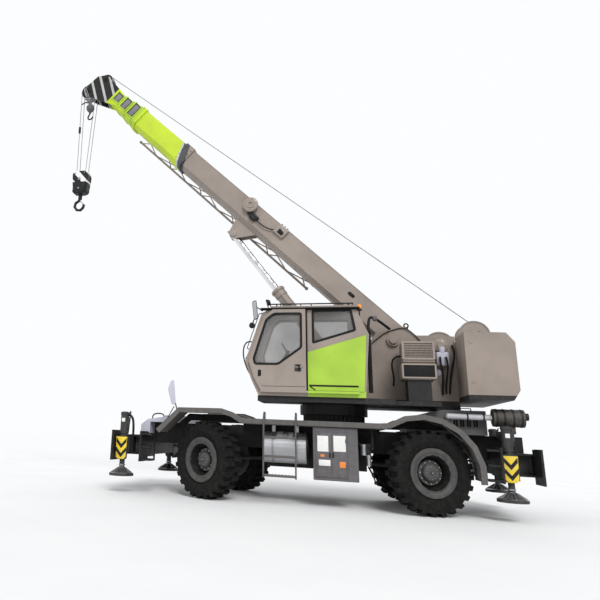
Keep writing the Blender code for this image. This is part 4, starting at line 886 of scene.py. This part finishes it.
# %% Fender mirror, front handle and lift hook
stalk = [(4.6, 1.2, 1.56), (4.62, 1.22, 1.66), (4.64, 1.24, 1.74), (4.7, 1.25, 1.92)]
tube("fender_mirror_stalk", stalk, 0.011, "black_paint", "carrier", flowing=False)
tube("fender_mirror_brace", [(4.95, 1.15, 1.18), (4.66, 1.23, 1.66)], 0.009, "black_paint", "carrier",
    flowing=False)
plate(rounded([(4.62, 1.7), (4.7, 1.69), (4.79, 1.98), (4.735, 2.16), (4.68, 2.17)], 0.03), "Y", 1.252, 1.28,
    edge=0.008)
fit("fender_mirror_shell", "cover_paint", "carrier")
plate(rounded([(4.632, 1.712), (4.694, 1.704), (4.776, 1.98), (4.728, 2.146), (4.686, 2.154)], 0.025), "Y", 1.246,
    1.252)
fit("fender_mirror_face", "mirror_glass", "carrier")
tube("hood_loop", [(5.3, 0.6, 1.428), (5.3, 0.6, 1.5), (5.24, 0.6, 1.53), (5.1, 0.6, 1.54), (5.05, 0.6, 1.5),
    (5.05, 0.6, 1.468)], 0.013, "black_paint", "carrier")
tube("lift_hook", [(5.56, 1, 1.08), (5.56, 1, 1.34), (5.6, 1, 1.47), (5.72, 1, 1.49), (5.82, 1, 1.43)], 0.024,
    "black_paint", "carrier")
for y in (-0.36, 0, 0.36):
    block((4.62, 4.94), (y - 0.004, y + 0.004), (1.478, 1.503), 0.001)
for y in (-0.6, 0.6):
    peg(4.66, y, (1.49, 1.506), 0.02, 12, edge=0.003)
fit("front_cover_seams", "black_paint", "carrier")

# %% [markdown]
# ## Dressing the boom
# The base carries a cable reel and a small valve box on its side, long weld beads where its plates
# meet, and bolt heads in two rows near its mouth. A weld could be a bump in the paint, but it shows
# against the light at an edge, so it is a thin bar. Each sliding section ends in a proud collar: two
# flanges in a darker yellow-green painted as shade, with a dark panel between them in a black seal that
# also stands for the panel's shadow, drawn once for all four and made smaller each time.

# %% Boom base
for y in (-0.231, 0.231):
    for z in (0.338, -0.095):
        peg((0.25, 6.22), y, z, 0.006, 8)
for x in (1.2, 2.7, 5.3):
    peg(x, (-0.231, 0.231), 0.346, 0.006, 8)
fit("boom_welds", "boom_paint", "boom", BOOM)
for x in (6.32, 6.51):
    for side in (-1, 1):
        for z in (-0.06, 0.05, 0.16, 0.27):
            peg(x, (side * 0.262, side * 0.276), z, 0.011, 6)
fit("collar_bolts", "frame_paint", "boom", BOOM, 20)
plate(rounded([(1.14, 0.13), (1.3, 0.13), (1.3, 0.2), (1.14, 0.2)], 0.034), "Y", 0.229, 0.236, edge=0.002)
fit("boom_slot", "rubber", "boom", BOOM)

# %% Cable reel and valve box
REEL_X, REEL_Z = 4.22, 0.22
revolve([(0, 0.012), (0.044, 0.012), (0.048, 0.034), (0.088, 0.034), (0.094, 0.02), (0.146, 0.016),
    (0.168, 0.006), (0.175, -0.01), (0.175, -0.028), (0.16, -0.034), (0.16, -0.06), (0, -0.06)],
    facing((REEL_X, 0.335, REEL_Z), Y), 40)
for x, z in spots(6, 0.12, REEL_X, REEL_Z):
    peg(x, (0.345, 0.362), z, 0.008, 6)
fit("reel_cover", "grey_paint", "boom", BOOM)
block((3.86, 4.16), (0.228, 0.29), (0.02, 0.13), 0.02, 3)
block((3.9, 4.06), (0.228, 0.3), (-0.02, 0.06), 0.012)
fit("reel_bracket", "black_paint", "boom", BOOM)
block((3.14, 3.42), (0.228, 0.29), (0.1, 0.33), 0.012)
for x in (3.2, 3.28, 3.36):
    peg(x, 0.26, (0.32, 0.365), 0.018, 12, edge=0.003)
fit("valve_box", "grey_paint", "boom", BOOM)
plate(rounded([(3.19, 0.14), (3.33, 0.14), (3.33, 0.25), (3.19, 0.22)], 0.015), "Y", 0.288, 0.296, edge=0.002)
fit("valve_window", "rubber", "boom", BOOM)
tube("boom_hose", [(3.86, 0.27, 0.05), (3.7, 0.29, 0.02), (3.5, 0.28, 0.06), (3.42, 0.27, 0.14)], 0.013, "rubber",
    "boom", BOOM)

# %% Section collars
COLLARS = (  # body, start and end along the boom, name
    ("boom", 8.05, 8.21, "base"),
    ("section_2", 8.245, 8.51, "second"),
    ("section_3", 8.575, 8.84, "third"),
    ("section_4", 8.905, 9.18, "fourth"),
)
FLANGE, SHRINK = 0.035, 0.03  # a flange's length, and a section's loss of half width and height
for number, (body, low, high, name) in enumerate(COLLARS):
    less = SHRINK * number
    half, top, bottom, knee = 0.262 - less, 0.377 - less, -0.212 + less, -0.117 + less
    ring = [(half, top), (-half, top), (-half, knee), (-half + 0.095, bottom), (half - 0.095, bottom),
        (half, knee)]
    for start in ((low, high - FLANGE) if number else (low + 0.1,)):
        plate(ring, "X", start, start + FLANGE, rim=0.03)
    both(block, (low, high), (half - 0.025, half + 0.004), (knee + 0.02, knee + 0.06), 0.006)
    # the flanges take the darker yellow-green, painted as shade
    fit("collar_flanges_" + name, "shaded_lime", body, BOOM)
    if number:
        outline = rounded([(low + 0.036, knee + 0.03), (high - 0.036, knee + 0.05), (high - 0.036, top - 0.02),
            (low + 0.036, top - 0.03)], 0.025)
        for side in (-1, 1):
            plate(outline, "Y", side * (half - 0.012), side * (half - 0.003), edge=0.002)
        fit("collar_panels_" + name, "panel_grey", body, BOOM)
        # the black seal round each panel is partly a real seal and partly painted shadow at the panel's edges
        for side in (-1, 1):
            plate(outline, "Y", side * (half - 0.01), side * (half + 0.001), rim=0.022)
        fit("collar_seals_and_painted_shade_" + name, "rubber", body, BOOM)

# %% [markdown]
# ## The boom head and what hangs from it
# The head takes nuts on the sheave pins, rope guards and a little switch box with its weight. Beside the
# falls hangs an auxiliary ball hook. The hook block gets its cheeks and bolts. Hooks are curves with a
# round section, which bend more smoothly than joined bars. What hangs stays upright, so it rides with the
# hook and is drawn in the machine's frame, not in the boom's.

# %% Head fittings
SHEAVES = ((9.92, -0.25, 0.19), (9.76, 0.3, 0.16))  # place of the pin and radius
for x, z, radius in SHEAVES:
    both(peg, x, (0.155, 0.178), z, 0.074, 20, edge=0.004)
    both(peg, x, (0.17, 0.2), z, 0.0312, 6, edge=0.003)
for x, z in ((9.36, 0.26), (9.52, 0.33), (9.99, 0.14)):
    peg(x, (-0.17, 0.17), z, 0.014, 12)
peg(9.92, (0.19, 0.315), -0.25, 0.02, 20, edge=0.003)
block((9.34, 9.52), (-0.135, 0.135), (0.02, 0.08), 0.01)
block((9.42, 9.6), (-0.245, -0.16), (-0.02, 0.12), 0.015, 3)
fit("head_fittings", "black_paint", "section_4", BOOM)
for x, z, radius in SHEAVES:
    profile = ((-0.035, -0.03), (0.012, -0.03), (0.012, -0.022), (-0.004, -0.006), (-0.004, 0.006),
        (0.012, 0.022), (0.012, 0.03), (-0.035, 0.03))
    for y in (-0.085, 0, 0.085):
        hoop([(radius + out, along) for out, along in profile], facing((x, y, z), Y), 36)
fit("sheave_rims", "steel", "section_4", BOOM)
tube("switch_cable", [(9.5, -0.2, 0.12), (9.46, -0.21, 0.24), (9.3, -0.2, 0.3), (9.12, -0.165, 0.27)], 0.007,
    "rubber", "section_4", BOOM)

# %% Ball hook and switch weight
ball((7.58, 0.29, 9.2), 0.105, 32, 18, 1.12)
bar((7.58, 0.29, 9.29), (7.61, 0.29, 9.44), 0.042, 16, 0.026, 0.006)
peg(7.58, 0.29, (9.12, 9.05), 0.04, 16, 0.028, 0.005)
fit("ball_weight", "box_paint", "hook")
tube("ball_hook", [(7.58, 0.29, 9.06), (7.58, 0.29, 9.01), (7.63, 0.29, 8.96), (7.62, 0.29, 8.88),
    (7.55, 0.29, 8.86), (7.5, 0.29, 8.9), (7.49, 0.29, 8.94)], 0.019, "black_paint", "hook")
tube("ball_rope", [(7.61, 0.29, 9.43), (7.69, 0.29, 9.64), (7.755, 0.29, 9.8)], 0.01, "wire", "hook",
    flowing=False)
tube("ball_shackle", [(7.62, 0.29, 9.36), (7.74, 0.29, 9.39), (7.84, 0.29, 9.34)], 0.016, "black_paint", "hook",
    flowing=False)
hoop([(0.022, -0.014), (0.038, -0.014), (0.042, 0), (0.038, 0.014), (0.022, 0.014)],
    facing((7.769, 0.29, 9.831), Y), 28)
fit("ball_eyelet", "steel", "hook")
bar((7.927, 0.085, 8.62), (7.933, 0.085, 8.8), 0.03, 20, edge=0.008)
fit("switch_weight", "black_paint", "hook")

# %% Hook block
cheek = rounded([(7.6, 7.5), (7.94, 7.5), (7.97, 7.4), (7.94, 7.08), (7.86, 6.93), (7.68, 6.93), (7.6, 7.08),
    (7.57, 7.4)], 0.03)
for side in (-1, 1):
    plate(cheek, "Y", side * 0.128, side * 0.146, edge=0.004)
fit("block_cheeks", "block_paint", "hook")
for side in (-1, 1):
    for x, z, size in ((7.77, 7.28, 0.04), (7.64, 7.44, 0.016), (7.9, 7.44, 0.016), (7.77, 7.02, 0.026)):
        peg(x, (side * 0.14, side * 0.166), z, size, 6, edge=0.003)
fit("block_bolts", "steel", "hook", smooth=20)
tube("hook_latch", [(7.8, 0, 6.76), (7.73, 0, 6.7), (7.665, 0, 6.63)], 0.012, "steel", "hook", flowing=False)

# %% [markdown]
# ## The hoist rope
# The rope leaves the rear winch, runs straight to the boom's head and over its top sheaves. It crosses
# four joints, so it is drawn as four lengths on one line; each length is then taken off its body and
# left where it was drawn.

# %% Rope
ROPE_START, ROPE_END = BOOM.inverted() @ (MACHINE @ Vector((-1.1, 0.03, 3.44))), Vector((9.74, 0.03, 0.47))
FIRST_BEND = 0.22  # a share along the rope; its point is worked out as the first length's bend below, but nothing uses it
LENGTHS = (  # name, its shares of the rope, its steps, the two bodies that it joins
    ("lower", 0, 0.6, 24, "upper", "boom"),
    ("middle", 0.6, 0.86, 4, "boom", "section_2"),
    ("upper", 0.86, 0.93, 4, "section_2", "section_3"),
    ("head", 0.93, 1, 4, "section_3", "section_4"),
)
for name, low, high, steps, first, second in LENGTHS:
    line = [ROPE_START.lerp(ROPE_END, low + (high - low) * step / steps) for step in range(steps + 1)]
    piece = tube("rope_" + name, line, 0.009, "wire", first, BOOM, flowing=False)
    piece.parent = None
    del piece["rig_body"]
    bend = ROPE_START.lerp(ROPE_END, FIRST_BEND) if name == "lower" else line[-2]
    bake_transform(piece)
print("rope", round((ROPE_END - ROPE_START).length, 2), "m")

# %% Rope on the winches
WINCHES = ((-0.4, 3.02, 0.302, 0.135), (-1.04, 3.235, 0.272, 0.1))  # place, and the motor's reach and radius
for x, z, reach, size in WINCHES:
    profile = [(0.17, -0.18)]
    for y in [-0.168 + 0.024 * number for number in range(15)]:
        profile += [(0.206, y - 0.009), (0.214, y), (0.206, y + 0.009)]
    hoop(profile + [(0.17, 0.18)], facing((x, 0, z), Y), 40)
fit("rope_wraps", "wire", "upper")

# %% [markdown]
# ## The turret's machinery
# Behind the cab are a corrugated trunk of cables, the oil cooler with its mesh and black mouth, the
# winch motors with their hoses, and a lifting eye at the boom's foot. The trunk's folds and the mesh
# could be painted on, but both show at their edges, so the folds are one long spun profile and the mesh is
# two rows of thin bars. A loop draws the hoses from their points.

# %% Cable trunk
profile = [(0, 2.02)]
for z in [2.02 + 0.032 * number for number in range(36)]:
    profile += [(0.034, z), (0.044, z + 0.008), (0.044, z + 0.018), (0.034, z + 0.026)]
revolve(profile + [(0, 3.18)], moved((0.955, 1.16, 0)), 24)
fit("cable_trunk", "rubber", "upper")
tube("trunk_top", [(0.955, 1.16, 3.16), (0.95, 1.14, 3.4), (0.9, 1, 3.5), (0.7, 0.6, 3.44), (0.52, 0.36, 3.34)],
    0.026, "rubber", "upper")

# %% Oil cooler
plate(rounded([(-0.19, 2.31), (0.39, 2.31), (0.39, 2.575), (-0.19, 2.575)], 0.03), "Y", 1.046, 1.068, rim=0.026)
plate(rounded([(-0.18, 2.65), (0.37, 2.65), (0.37, 2.985), (-0.18, 2.985)], 0.034), "Y", 1.052, 1.07, rim=0.03)
fit("cooler_frames", "grey_paint", "upper")
block((-0.17, 0.37), (1.044, 1.053), (2.33, 2.555), 0.003)
block((-0.155, 0.345), (1.01, 1.056), (2.675, 2.96), 0.003)
fit("cooler_mouth", "rubber", "upper")
MESH_STEP = 0.0212
for x in [-0.15 + MESH_STEP * number for number in range(24)]:
    peg(x, 1.061, (2.67, 2.965), 0.003, 6)
for z in [2.68 + MESH_STEP * number for number in range(14)]:
    peg((-0.158, 0.348), 1.064, z, 0.003, 6)
fit("cooler_mesh", "grey_paint", "upper")

# %% Winch covers and motor
for x, z, reach, size in WINCHES:
    for side in (-1, 1):
        revolve([(0, 0.085), (size * 0.45, 0.085), (size * 0.5, 0.06), (size * 0.86, 0.05), (size, 0.036),
            (size, 0), (0, 0)], facing((x, side * reach, z), (0, side, 0)), 32)
        for px, pz in spots(8, size * 0.72, x, z):
            peg(px, (side * (reach + 0.048), side * (reach + 0.064)), pz, 0.009, 6)
fit("winch_covers", "grey_paint", "upper")
for x, z, reach, size in WINCHES:
    for side in (-1, 1):
        hoop([(0.262, 0), (0.288, 0), (0.288, 0.01), (0.28, 0.014), (0.262, 0.01)],
            facing((x, side * 0.214, z), (0, side, 0)), 48)
fit("winch_rims", "grey_paint", "upper")
block((-0.52, -0.3), (0.33, 0.43), (2.62, 2.88), 0.02, 3)
peg(-0.41, 0.38, (2.86, 2.98), 0.055, 24, edge=0.008)
for x in (-0.46, -0.36):
    peg(x, (0.43, 0.47), 2.78, 0.022, 12)
fit("winch_motor", "cover_paint", "upper")
revolve([(0, 0.03), (0.05, 0.03), (0.06, 0.018), (0.078, 0.014), (0.08, 0), (0, 0)],
    facing((-0.3, 0.305, 2.5), Y), 32)
fit("filter_lid", "cover_paint", "upper")

# %% Hoses
HOSES = {
    "winch_hose_a": [(-0.46, 0.46, 2.78), (-0.48, 0.54, 2.66), (-0.46, 0.5, 2.45), (-0.44, 0.36, 2.28),
        (-0.44, 0.33, 2.1)],
    "winch_hose_b": [(-0.36, 0.46, 2.78), (-0.34, 0.53, 2.64), (-0.4, 0.48, 2.42), (-0.38, 0.36, 2.26),
        (-0.38, 0.33, 2.08)],
    "winch_hose_c": [(-0.6, 0.32, 3.02), (-0.64, 0.44, 2.86), (-0.56, 0.44, 2.6), (-0.52, 0.36, 2.36),
        (-0.5, 0.33, 2.1)],
    "cooler_hose": [(0.38, 0.8, 2.74), (0.5, 0.8, 2.74), (0.56, 0.78, 2.6), (0.52, 0.7, 2.44), (0.5, 0.6, 2.3),
        (0.5, 0.34, 2.24)],
}
for name, points in HOSES.items():
    tube(name, points, 0.017, "rubber", "upper")
tube("foot_cable", [(0.86, 0.32, 3.06), (0.62, 0.31, 3.28), (0.4, 0.315, 3.34), (0.22, 0.33, 3.4),
    (0.06, 0.33, 3.24), (-0.04, 0.32, 3.1)], 0.01, "rubber", "upper")

# %% Lifting eye, pivot caps and rear lamp
hoop(spots(12, 0.014, 0.04), facing((0.2, 0.275, 3.42), Y), 28)
block((0.165, 0.235), (0.258, 0.292), (3.35, 3.385), 0.006)
fit("lifting_eye", "black_paint", "upper")
for side in (-1, 1):
    revolve([(0, 0.05), (0.07, 0.05), (0.078, 0.042), (0.078, 0), (0, 0)],
        facing((PIVOT_X, side * 0.355, PIVOT_Z), (0, side, 0)), 32)
    block((0.43, 0.6), (side * 0.302, side * 0.322), (PIVOT_Z - 0.02, PIVOT_Z + 0.02), 0.005)
    peg(0.57, (side * 0.315, side * 0.336), PIVOT_Z, 0.013, 6)
fit("pivot_caps", "turret_paint", "upper")
revolve([(0, 0.075), (0.046, 0.075), (0.054, 0.06), (0.054, 0.01), (0.03, 0), (0, 0)],
    facing((0.86, 0.98, 3.44), (-1, 0.1, -0.2)), 24)
fit("rear_lamp", "box_paint", "upper")

# %% [markdown]
# The counterweight is plain, so its fittings carry the look: bolt heads on its cheeks, two lifting eyes,
# and strips, stripes and lamps on its tail. An eye is a round section spun about its own hole, a torus
# that lies the right way at once.

# %% Counterweight and tail
for side in (-1, 1):
    for z in (2.25, 2.95):
        peg(-0.76, (side * 1.215, side * 1.228), z, 0.03, 6, edge=0.004)
    block((-1.478, -1.462), (side * 0.6, side * 1.05), (2.2, 2.24))
    hoop(spots(12, 0.015, 0.05), facing((-1, side * 0.8, 3.17), Y), 28)
    block((-1.06, -0.94), (side * 0.77, side * 0.83), (3.115, 3.145), 0.008)
fit("weight_fittings", "weight_paint_shaded_below", "upper")
both(block, (-1.488, -1.462), (0.98, 1.12), (2.3, 2.38), 0.008)
fit("tail_lamps", "red_lens", "upper")
both(block, (-1.478, -1.464), (0.35, 0.9), (2.44, 2.56), 0.003)
fit("tail_stripes", "tail_stripes", "upper")

# %% [markdown]
# ## Under and over the deck
# Dark liners close the arches above the tyres and the slot under the deck, ribbed steps lie on the
# ladder's rungs, dark sheets inside the rims paint the shadow in their dishes, and ribbed tread plates
# lie on the deck. The hood gets seams, louvre frames, latches and handles, and the silencer its straps.
# Pressed tread could be a bump too, but low bars give its glints from every side, and one loop lays
# them out plate by plate.

# %% Liners, steps and painted dish shadows
for side in (-1, 1):
    near, far = side * 0.745, side * 0.757
    plate([(3.36, 1.42), (3.5, 1.49), (3.7, 1.55), (4.47, 1.55), (4.78, 1.25), (4.6, 1.25), (4.42, 1.42)], "Y",
        near, far, edge=0.002)
    block((0.88, 3.36), (near, far), (1.25, 1.413), 0.002)
    plate([(-0.34, 1.42), (-0.22, 1.48), (0, 1.55), (0.15, 1.565), (0.3, 1.55), (0.52, 1.48), (0.64, 1.42)], "Y",
        near, far, edge=0.002)
fit("arch_liners", "rubber", "carrier")
for level in (0.5, 0.83, 1.16):
    block((2.305, 2.875), (1.352, 1.416), (level - 0.021, level + 0.021), 0.006)
    for x in [2.35 + 0.06 * number for number in range(9)]:
        block((x, x + 0.02), (1.36, 1.408), (level + 0.019, level + 0.027), 0.002)
fit("ladder_steps", "deck_paint", "carrier")
for tag, end, side in CORNERS:
    hoop([(0.176, -0.024), (0.243, -0.036), (0.282, 0.176), (0.278, 0.176), (0.238, -0.03), (0.176, -0.018)],
        steps=56)
    # each dark sheet lies on the rim's dish as a painted shadow
    fit("painted_dish_shadow_" + tag, "rubber", "wheel_" + tag, wheel_frame(end, side))

# %% Tread plates
RIB_STEP = 0.05
for side in (-1, 1):
    for low, high in ((0.8, 1.18), (1.22, 1.6), (1.64, 2.2), (2.34, 2.84), (2.88, 3.2)):
        block((low, high), (side * 0.82, side * 1.26), (1.45, 1.459), 0.003, 1)
        for number in range(int((high - low) / RIB_STEP)):
            x = low + 0.03 + RIB_STEP * number
            block((x, x + 0.014), (side * 0.84, side * 1.24), (1.457, 1.463), 0.0015, 1)
fit("deck_treads", "frame_paint", "carrier")

# %% Hood
for y in (-0.24, 0.24):
    block((-0.97, -0.3), (y - 0.008, y + 0.008), (1.782, 1.79), 0.002, 1)
block((-0.628, -0.612), (-0.7, 0.7), (1.782, 1.79), 0.002, 1)
for side in (-1, 1):
    plate(rounded([(-0.9, 1.475), (-0.32, 1.475), (-0.32, 1.725), (-0.9, 1.725)], 0.02), "Y", side * 0.717,
        side * 0.73, rim=0.016, edge=0.002)
    for x in [-0.38 - 0.11 * number for number in range(5)]:
        peg(x, side * 0.722, (1.51, 1.69), 0.006, 8)
    block((0.06, 0.12), (side * 0.717, 0.734 if side > 0 else -0.73), (1.46, 1.54))
fit("hood_trim", "box_paint", "carrier")
both(block, (-0.955, -0.3), (0.655, 0.665), (1.46, 1.74), 0.003)
fit("hood_screens", "rubber", "carrier")
plate([(-0.3, 1.575), (-0.22, 1.5), (-0.5, 1.26), (-0.58, 1.33)], "Y", 1.18, 1.19, edge=0.002)
fit("fender_guard", "rubber", "carrier")
tube("fender_guard_rim", [(-0.29, 1.2, 1.59), (-0.2, 1.2, 1.5), (-0.5, 1.2, 1.245), (-0.595, 1.2, 1.33)], 0.01,
    "box_paint", "carrier", closed=True, flowing=False)
for name, side in reversed(SIDES.items()):
    tube("hood_handle_" + name, [(x, side * 0.5, z) for x, z in ((-0.8, 1.782), (-0.8, 1.83), (-0.55, 1.83),
        (-0.55, 1.782))], 0.011, "black_paint", "carrier", flowing=False)

# %% Silencer and nose
SILENCER_Z = 1.665
for x in (-1.5, -1.37, -1.23, -1.11):
    hoop([(0.14, -0.014), (0.1545, -0.014), (0.1565, 0), (0.1545, 0.014), (0.14, 0.014)],
        facing((x, 0.9, SILENCER_Z), X), 40)
for x in (-0.92, -0.66):
    hoop([(0.046, -0.012), (0.056, -0.012), (0.056, 0.012), (0.046, 0.012)], facing((x, 0.9, SILENCER_Z), X), 32)
hoop([(0.05, 0), (0.062, 0.004), (0.062, 0.075), (0.052, 0.075)], facing((-1.548, 0.9, 1.695), (-1, 0, 0)), 32)
fit("silencer_straps", "black_paint", "carrier")
for y in (-0.62, 0.62):
    block((4.66, 5.02), (y - 0.006, y + 0.006), (1.478, 1.496), 0.002, 1)
for z in (1.16, 1.2, 1.24, 1.28):
    block((5.494, 5.508), (-0.5, 0.5), (z, z + 0.018), 0.003, 1)
fit("nose_grille", "box_paint", "carrier")

# %% [markdown]
# Below, a propeller shaft runs to each axle from the gearbox, with forked joints at both ends. Each axle
# has plugs, brake cylinders and steering rams. A fork is made as a turned flange, enough for a part that
# is seen only from low down, and it is turned to face along its shaft.

# %% Drive line
block((1.72, 2.28), (-0.24, 0.24), (0.7, 0.955), 0.04, 3)
for start, end in (((1.74, 0, 0.8), (0.34, 0, 0.72)), ((2.26, 0, 0.8), (3.66, 0, 0.72))):
    way = (Vector(end) - Vector(start)).normalized()
    bar(start, end, 0.04, 20)
    for at, direction in ((Vector(start), way), (Vector(end), -way)):
        revolve([(0, 0), (0.085, 0), (0.085, 0.022), (0.06, 0.03), (0.055, 0.09), (0.072, 0.1), (0.072, 0.135),
            (0.045, 0.15), (0, 0.15)], facing(at, direction), 24)
fit("drive_shafts", "frame_paint", "carrier")
for x, face in ((0.15, 1), (3.85, -1)):
    both(peg, x + 0.13 * face, (0.3, 0.52), 0.78, 0.045, 20, edge=0.01)
    both(peg, x + 0.13 * face, (0.5, 0.64), 0.78, 0.018, 12)
    both(peg, x, 0.42, (0.79, 0.85), 0.03, 16, edge=0.005)
    peg(x, 0, (0.465, 0.492), 0.026, 6)
    peg((x - 0.19 * face, x - 0.225 * face), 0, 0.62, 0.03, 6)
fit("axle_fittings", "frame_paint", "carrier")

# %% [markdown]
# The luffing cylinder has a bolted gland at its mouth, a valve block at its foot and a pipe along its
# side. It leans, so a frame of its own is laid along it, and its fittings are drawn there as if it lay
# flat. The jib is held by pins, and its ends carry small lugs.

# %% Lifting cylinder
FOOT, ROD_EYE = Vector((1.2, 0, 2.16)), Vector((3.7636, 0, 5.6012))
aim = ROD_EYE - FOOT
CYLINDER = MACHINE @ moved(FOOT) @ turned(-atan2(aim.z, aim.x), "Y")
hoop([(0.078, 0), (0.15, 0), (0.156, 0.012), (0.156, 0.05), (0.14, 0.062), (0.092, 0.066), (0.088, 0.09),
    (0.078, 0.09)], facing((2.58, 0, 0), X), 48)
for y, z in spots(12, 0.126):
    peg((2.64, 2.658), y, z, 0.011, 6)
block((0.3, 0.52), (0.1, 0.19), (-0.05, 0.07), 0.012)
peg(0.36, 0.14, (0.06, 0.11), 0.024, 6)
fit("cylinder_gland", "grey_paint", "barrel", CYLINDER)
tube("cylinder_pipe", [(0.5, 0.15, 0), (0.7, 0.155, 0), (2.4, 0.155, 0), (2.46, 0.15, 0), (2.5, 0.125, 0)], 0.012,
    "grey_paint", "barrel", CYLINDER, flowing=False)
for x in (0.95, 1.5, 2.05):
    block((x - 0.015, x + 0.015), (0.118, 0.172), (-0.02, 0.02), 0.003)
fit("pipe_clips", "frame_paint", "barrel", CYLINDER)
x, z = ROD_EYE.x, ROD_EYE.z
both(peg, x, (0.126, 0.15), z, 0.075, 28, edge=0.008)
both(block, (x - 0.02, x + 0.13), (0.128, 0.138), (z + 0.02, z + 0.07))
fit("eye_pins", "boom_paint", "boom")

# %% Jib
for along in (2.1, 7.9):
    for y, z in ((-0.31, 0.1), (-0.31, -0.28), (-0.56, -0.09)):
        hoop([(0.012, -0.02), (0.034, -0.02), (0.038, -0.012), (0.038, 0.012), (0.034, 0.02), (0.012, 0.02)],
            facing((along, y, z), Y), 24)
for along in (2.9, 6.9):
    peg(along, -0.27, (0.12, 0.17), 0.016, 12, edge=0.003)
fit("jib_lugs", "grey_paint", "boom", BOOM)
print("cylinder", round(aim.length, 3), "m between its eyes")

# %% [markdown]
# ## The end
# The bounds of every shown piece, leaving out the floor, are measured last. The visual model has to stay
# in the imported model's box, apart from a small allowance.

low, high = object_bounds()
